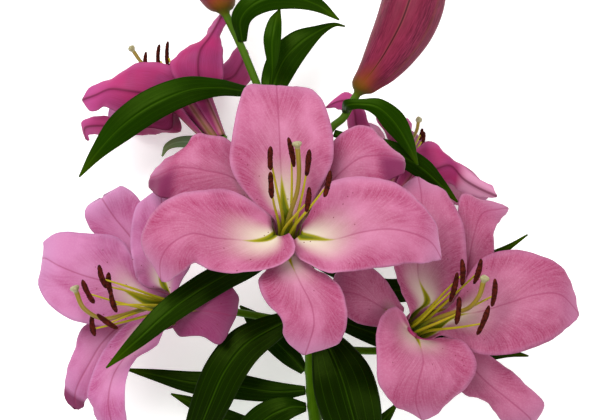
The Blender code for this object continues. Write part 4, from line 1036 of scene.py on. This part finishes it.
BUD_STALK_RINGS = 60
BUD_HOST_RINGS = 12
BUD_RINGS = 70
BUD_NECK = 0.9
BUD_TIP_REACH = 1.2
BUD_TIP_RADIUS = 0.8
BUD_FULLNESS = 0.035
BUD_SEAM_DEPTH = 0.06
BUD_SEAM_WIDTH = 0.035
BUD_KEEL_HEIGHT = 0.035
BUD_KEEL_WIDTH = 0.06
BUD_GROWN_AT = 14
# Bud skin: waxy and finely streaked, 1 mm apart where it is fullest, with paler dusty streaks, an orange and
# olive base, and a double dark seam. Marks start at 0 where the pod leaves its stalk.
bud_skin = new_finish("lily_bud_skin", Roughness=0.5, Specular_IOR_Level=0.1)
along, around = marks_of(bud_skin)
third = add_node(bud_skin, "Math", [around, 3.0], operation="MULTIPLY")
third = add_node(bud_skin, "Math", [third], operation="FRACT")
third = add_node(bud_skin, "Math", [third, 0.5], operation="SUBTRACT")
side = add_node(bud_skin, "Math", [third], operation="ABSOLUTE")
slant = add_node(bud_skin, "Math", [side, 60.0, along], operation="MULTIPLY_ADD")
rise = add_node(bud_skin, "Math", [side, -26.0, along], operation="MULTIPLY_ADD")
dust = streaks(bud_skin, slant, 0.12, around, 110.0, Detail=4.0, Roughness=0.65)
green = add_node(bud_skin, "Mix", [dust, "#2c4a00", "#4a6a0c"], data_type="RGBA")
place = add_node(bud_skin, "NewGeometry").outputs["Position"]
patches = add_node(bud_skin, "TexNoise", {"Vector": place, "Scale": 45.0, "Detail": 2.0})
# In turn: the dusty streaks, deep patches, the flanks, the keel, the lips of the seam, the seam, the orange
# base, the olive foot, and the green stalk.
colour = lay_colours(
    bud_skin, "#480a20",
    ("#8a2a4a", (dust, 0.32, 0.7, 0.0, 1.0)),
    ("#4e0c20", (patches, 0.4, 0.7, 0.0, 0.5)),
    ("#741e36", (side, 0.18, 0.4, 0.0, 0.55, SMOOTH)),
    ("#6b3a24", (side, 0.0, 0.05, 0.35, 0.0)),
    ("#7c3638", (side, 0.46, 0.475, 0.0, 0.5)),
    ("#360611", (side, 0.482, 0.49, 0.0, 0.9)),
    ("#76380a", (rise, -8.0, 18.0, 0.95, 0.0, SMOOTH)),
    ("#4c4408", (along, 1.0, 10.0, 0.85, 0.0)),
    (green, (along, -4.0, 3.0, 1.0, 0.0)))
bump = add_node(bud_skin, "Bump", {"Height": dust, "Strength": 0.3, "Distance": 0.0003})
feed_shader(bud_skin, Base_Color=colour, Normal=bump)


def bud_outline(length, angles):
    """Three full sides, with a seam groove between them and a keel down each, once the pod has begun."""
    grown = np.clip(length / BUD_GROWN_AT, 0, 1)
    side = np.abs((angles * 3 / (2 * math.pi)) % 1 - 0.5)
    seam = np.exp(-((side - 0.5) / BUD_SEAM_WIDTH) ** 2)
    keel = np.exp(-(side / BUD_KEEL_WIDTH) ** 2)
    full = np.cos(2 * math.pi * side * 2 - math.pi)
    return 1 + grown * (BUD_FULLNESS * full - BUD_SEAM_DEPTH * seam + BUD_KEEL_HEIGHT * keel)


for bud_name, bud in BUDS.items():
    stalk = np.array(bud["stalk"], dtype=float)
    if not bud["ends_stem"]:
        stalk[0] = seat(stalk[0], stalk[1], STALK_RADIUS - STALK_INSET, hosts["main_stem"])
    hosts[bud_name] = (curve_through(stalk, BUD_HOST_RINGS), np.full(BUD_HOST_RINGS, STALK_RADIUS))
    stalk_line = curve_through(stalk, BUD_STALK_RINGS)
    body = (stalk_line[-1], *bud["body"])
    pod = curve_through(body, BUD_RINGS)
    tip = pod[-1] + unit(pod[-1] - pod[-3]) * BUD_TIP_REACH
    knots = distance_along(body)
    profile = curve_through([(knot, radius, 0) for knot, radius in
                             zip(knots, (STALK_RADIUS + BUD_NECK, *bud["radii"]))], BUD_RINGS * 4)
    pod_radii = np.interp(np.linspace(0, knots[-1], BUD_RINGS), profile[:, 0], profile[:, 1])
    radii = np.concatenate([np.full(BUD_STALK_RINGS - 1, STALK_RADIUS), pod_radii, [BUD_TIP_RADIUS]])
    shape = new_shape()
    add_tube(shape, np.vstack([stalk_line[:-1], pod, tip]), radii, BUD_SIDES,
             start=-step_lengths(stalk_line).sum(), outline=bud_outline)
    piece = make_piece(f"{bud_name}_pod", shape, (bud_skin,))
    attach(piece, "root")
    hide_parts(bud_name)

# The leaves. Long glossy dark-green straps with a channel along the midrib and parallel veins; they are
# paler and duller underneath, and clasp the stem or a bud's stalk with a narrow base.
LEAF_ROWS = 64
LEAF_COLUMNS = 22
LEAF_MIDDLE = 1.1
LEAF_EDGE = 0.35
LEAF_MIDRIB_REACH = 2.5
LEAF_INSET = 1.2
LEAF_FOLD = 0.16
LEAF_FOLD_CURVE = 1.4
# Each of these is full only where the leaf's half width is its last number or more.
LEAF_CHANNEL = {"depth": 0.45, "half": 0.9, "full_at": 5}
LEAF_WAVE = {"height": 0.5, "length": 17, "full_at": 6}
LEAF_VEINS = {"height": 0.05, "turns": 22, "full_at": 8}
# Each leaf has what it grows from, how light and yellow it is from 0 for the old dark ones to 1 for the
# young, and the places of its midrib with its half width at each.
LEAVES = {
    "leaf_over_left_flower": ("main_stem", 0.15, (
        (12, -8, -72, 2.5), (-6, -15, -58, 6), (-25, -25, -44, 9), (-43, -34, -32, 9.5), (-60, -44, -23, 9.5),
        (-80, -58, -18, 8.5), (-101, -77, -18, 5.5), (-121, -95, -24, 0.6),
    )),
    "leaf_over_upper_left_flower": ("left_bud", 0.7, (
        (-19, 88, -70, 2.5), (-30, 91, -62, 4), (-46, 93, -52, 6), (-67, 91, -46, 9.5), (-91, 81, -44, 11),
        (-112, 66, -47, 10), (-128, 49, -53, 5), (-140, 33, -62, 0.6),
    )),
    "arching_leaf": ("left_bud", 0.9, (
        (-33, 124, -71, 3), (-31, 140, -64, 7), (-18, 152, -60, 9), (2, 154, -60, 8), (20, 149, -64, 5),
        (35, 139, -70, 0.6),
    )),
    "small_upper_leaf": ("left_bud", 0.9, (
        (-16, 84, -75, 1.2), (-11, 95, -68, 1.2), (-10, 104, -64, 1.5), (-10, 112, -62, 4),
        (-10, 126, -60, 6), (-8, 138, -62, 4.5), (-5, 146, -66, 0.6),
    )),
    "upper_leaf": ("left_bud", 0.75, (
        (-12, 76, -75, 2), (-9, 96, -82, 9), (-2, 112, -80, 11), (9, 124, -80, 9), (22, 132, -82, 4),
        (32, 136, -86, 1.5), (39, 135, -90, 0.6),
    )),
    "right_bud_leaf": ("right_bud", 0.85, (
        (38, 74, -66, 2.5), (40, 81, -58, 4), (50, 82, -54, 3.5), (61, 80, -52, 6), (72, 70, -52, 8),
        (81, 56, -54, 5), (88, 41, -60, 0.6),
    )),
    "leaf_before_right_flower": ("right_bud", 0.35, (
        (33, 60, -69, 2.5), (50, 56, -66, 4), (64, 53, -64, 6), (78, 47, -64, 7), (92, 38, -64, 7),
        (104, 27, -66, 4), (115, 16, -68, 0.6),
    )),
    "pale_back_leaf": ("main_stem", 0.2, (
        (9, 10, -76, 2.5), (-24, 40, -94, 4), (-50, 54, -104, 5), (-70, 57, -108, 4), (-81, 54, -108, 2.5),
        (-85, 47, -108, 0.6),
    )),
    "left_leaf": ("main_stem", 0.2, (
        (11, -112, -77, 3), (-10, -112, -86, 7), (-40, -108, -92, 9), (-65, -106, -96, 7.5),
        (-90, -101, -98, 4), (-110, -97, -98, 0.6),
    )),
    "lower_left_leaf": ("main_stem", 0.2, (
        (14, -146, -84, 3), (-20, -139, -98, 7), (-45, -130, -106, 7), (-65, -120, -108, 4),
        (-79, -114, -108, 0.6),
    )),
    "broad_left_leaf": ("main_stem", 0.0, (
        (9, -59, -67, 3), (-8, -68, -60, 9), (-28, -80, -54, 13), (-42, -98, -54, 14), (-52, -120, -60, 13),
        (-62, -145, -74, 9), (-70, -165, -90, 0.6),
    )),
    "leaf_behind_broad_leaf": ("main_stem", 0.2, (
        (16, -98, -76, 3), (2, -88, -84, 7), (-10, -76, -88, 8), (-22, -64, -90, 6), (-32, -54, -90, 0.6),
    )),
    "broad_right_leaf": ("main_stem", 0.05, (
        (18, -68, -67, 4), (28, -82, -58, 13), (36, -100, -53, 20), (42, -120, -55, 21), (48, -142, -64, 17),
        (54, -165, -78, 9), (58, -180, -92, 0.6),
    )),
    "lower_front_leaf": ("main_stem", 0.2, (
        (13, -122, -74, 3), (0, -123, -72, 8), (-14, -130, -74, 11), (-28, -143, -80, 10),
        (-42, -160, -90, 6), (-50, -175, -100, 0.6),
    )),
    "leaf_behind_right_flower": ("main_stem", 0.2, (
        (20, -58, -78, 3), (40, -66, -88, 6), (70, -76, -96, 9), (100, -82, -98, 9), (130, -85, -94, 7),
        (150, -86, -86, 3), (163, -88, -82, 0.6),
    )),
    "right_back_leaf": ("main_stem", 0.2, (
        (18, -24, -78, 2.5), (40, -34, -92, 5), (70, -44, -102, 8), (102, -38, -106, 8), (134, -24, -104, 5),
        (151, -14, -102, 2), (163, -6, -102, 0.6),
    )),
    "low_right_leaf": ("main_stem", 0.2, (
        (28, -166, -90, 2.5), (40, -158, -98, 5), (54, -144, -102, 6), (66, -131, -104, 4),
        (75, -120, -106, 0.6),
    )),
}
# Lily leaf: a waxy cuticle over seven parallel veins, 2 to 3 mm apart on most leaves and a little paler than
# the blade. The top is dark and glossy; the underside is grey-green and dull.
# Each side has its dark and light greens, its veins and its tip; the top's paler tip is a painted highlight.
leaf_top = new_finish("lily_leaf_top", Roughness=0.3, Specular_IOR_Level=0.14,
                      Specular_Tint=linear("#a8e048"))
leaf_under = new_finish("lily_leaf_under", Roughness=0.6, Specular_IOR_Level=0.3)
for finish, dark, light, vein_colour, tip_tint_and_sheen in (
        (leaf_top, "#060f00", "#132e00", "#294604", "#2e4400"),
        (leaf_under, "#56744a", "#7a9a70", "#8cab80", "#7e9456")):
    along, across = marks_of(finish)
    length, width = marks_of(finish, "millimetres")
    tone = marks_of(finish, "tone")[0]
    beside = add_node(finish, "Math", [width], operation="ABSOLUTE")
    fibres = streaks(finish, length, 0.03, across, 26.0, Detail=3.0)
    place = add_node(finish, "NewGeometry").outputs["Position"]
    clouds = add_node(finish, "TexNoise", {"Vector": place, "Scale": 30.0, "Detail": 2.0})
    young = add_node(finish, "Math", [tone, 0.7], operation="MULTIPLY")
    ladder = add_node(finish, "Math", [across, 3.5], operation="MULTIPLY")
    ladder = add_node(finish, "Math", [ladder], operation="FRACT")
    ladder = add_node(finish, "Math", [ladder, 0.5], operation="SUBTRACT")
    ladder = add_node(finish, "Math", [ladder], operation="ABSOLUTE")
    colour = lay_colours(finish, dark, (light, (clouds, 0.35, 0.7, 0.0, 0.8), (tone, 0.0, 0.6, 0.2, 1.0)),
                         (light, (fibres, 0.35, 0.7, 0.0, 0.25)))
    colour = add_node(finish, "Mix", [young, colour, light], data_type="RGBA")
    colour = lay_colours(finish, colour, (vein_colour, (ladder, 0.0, 0.05, 0.5, 0.0)),
                         (vein_colour, (beside, 0.2, 0.6, 0.6, 0.0)),
                         # The paler tip: a painted highlight on the top, and a yellower tint underneath.
                         (tip_tint_and_sheen, (along, 0.8, 1.0, 0.0, 0.7, SMOOTH)))
    bump = add_node(finish, "Bump", {"Height": fibres, "Strength": 0.25, "Distance": 0.0004})
    feed_shader(finish, Base_Color=colour, Normal=bump)

for leaf_name, (host_name, tone, strip) in LEAVES.items():
    first, second = np.array(strip[0][:3], dtype=float), np.array(strip[1][:3], dtype=float)
    base = seat(first, second, strip[0][3] - LEAF_INSET, hosts[host_name], flat=True)
    rows = strip_rows([(*point, 0) for point in ((*base, strip[0][3]), *strip[1:])])
    grid, length, width, v = blade_grid(np.array(rows, dtype=float), LEAF_ROWS, LEAF_COLUMNS, np.ones_like)
    phase = random.uniform(0, 2 * math.pi, 2)
    half_width = width.max(axis=1)[:, None]
    off_middle = np.abs(v)[None, :]
    fold = LEAF_FOLD * half_width * off_middle ** LEAF_FOLD_CURVE
    turns = length[:, None] / LEAF_WAVE["length"] + np.where(v[None, :] < 0, phase[0], phase[1])
    wave = LEAF_WAVE["height"] * np.sin(turns) * off_middle ** 2
    veins = LEAF_VEINS["height"] * np.cos(v * LEAF_VEINS["turns"])[None, :]
    channel = LEAF_CHANNEL["depth"] * np.exp(-(width / LEAF_CHANNEL["half"]) ** 2)
    sink = fold
    for form, sizes in ((channel, LEAF_CHANNEL), (wave, LEAF_WAVE), (veins, LEAF_VEINS)):
        sink = sink + form * np.clip(half_width / sizes["full_at"], 0, 1)
    half = (LEAF_EDGE + (LEAF_MIDDLE - LEAF_EDGE) * np.exp(-(width / LEAF_MIDRIB_REACH) ** 2)) / 2
    shape = new_shape()
    add_blade(shape, grid, blade_marks(length / length[-1], v, length, width, tone, 0.0), half, sink)
    finishes = (leaf_under, leaf_under) if leaf_name == "pale_back_leaf" else (leaf_top, leaf_under)
    piece = make_piece(f"{leaf_name}_blade", shape, finishes)
    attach(piece, "root")
    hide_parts(leaf_name)
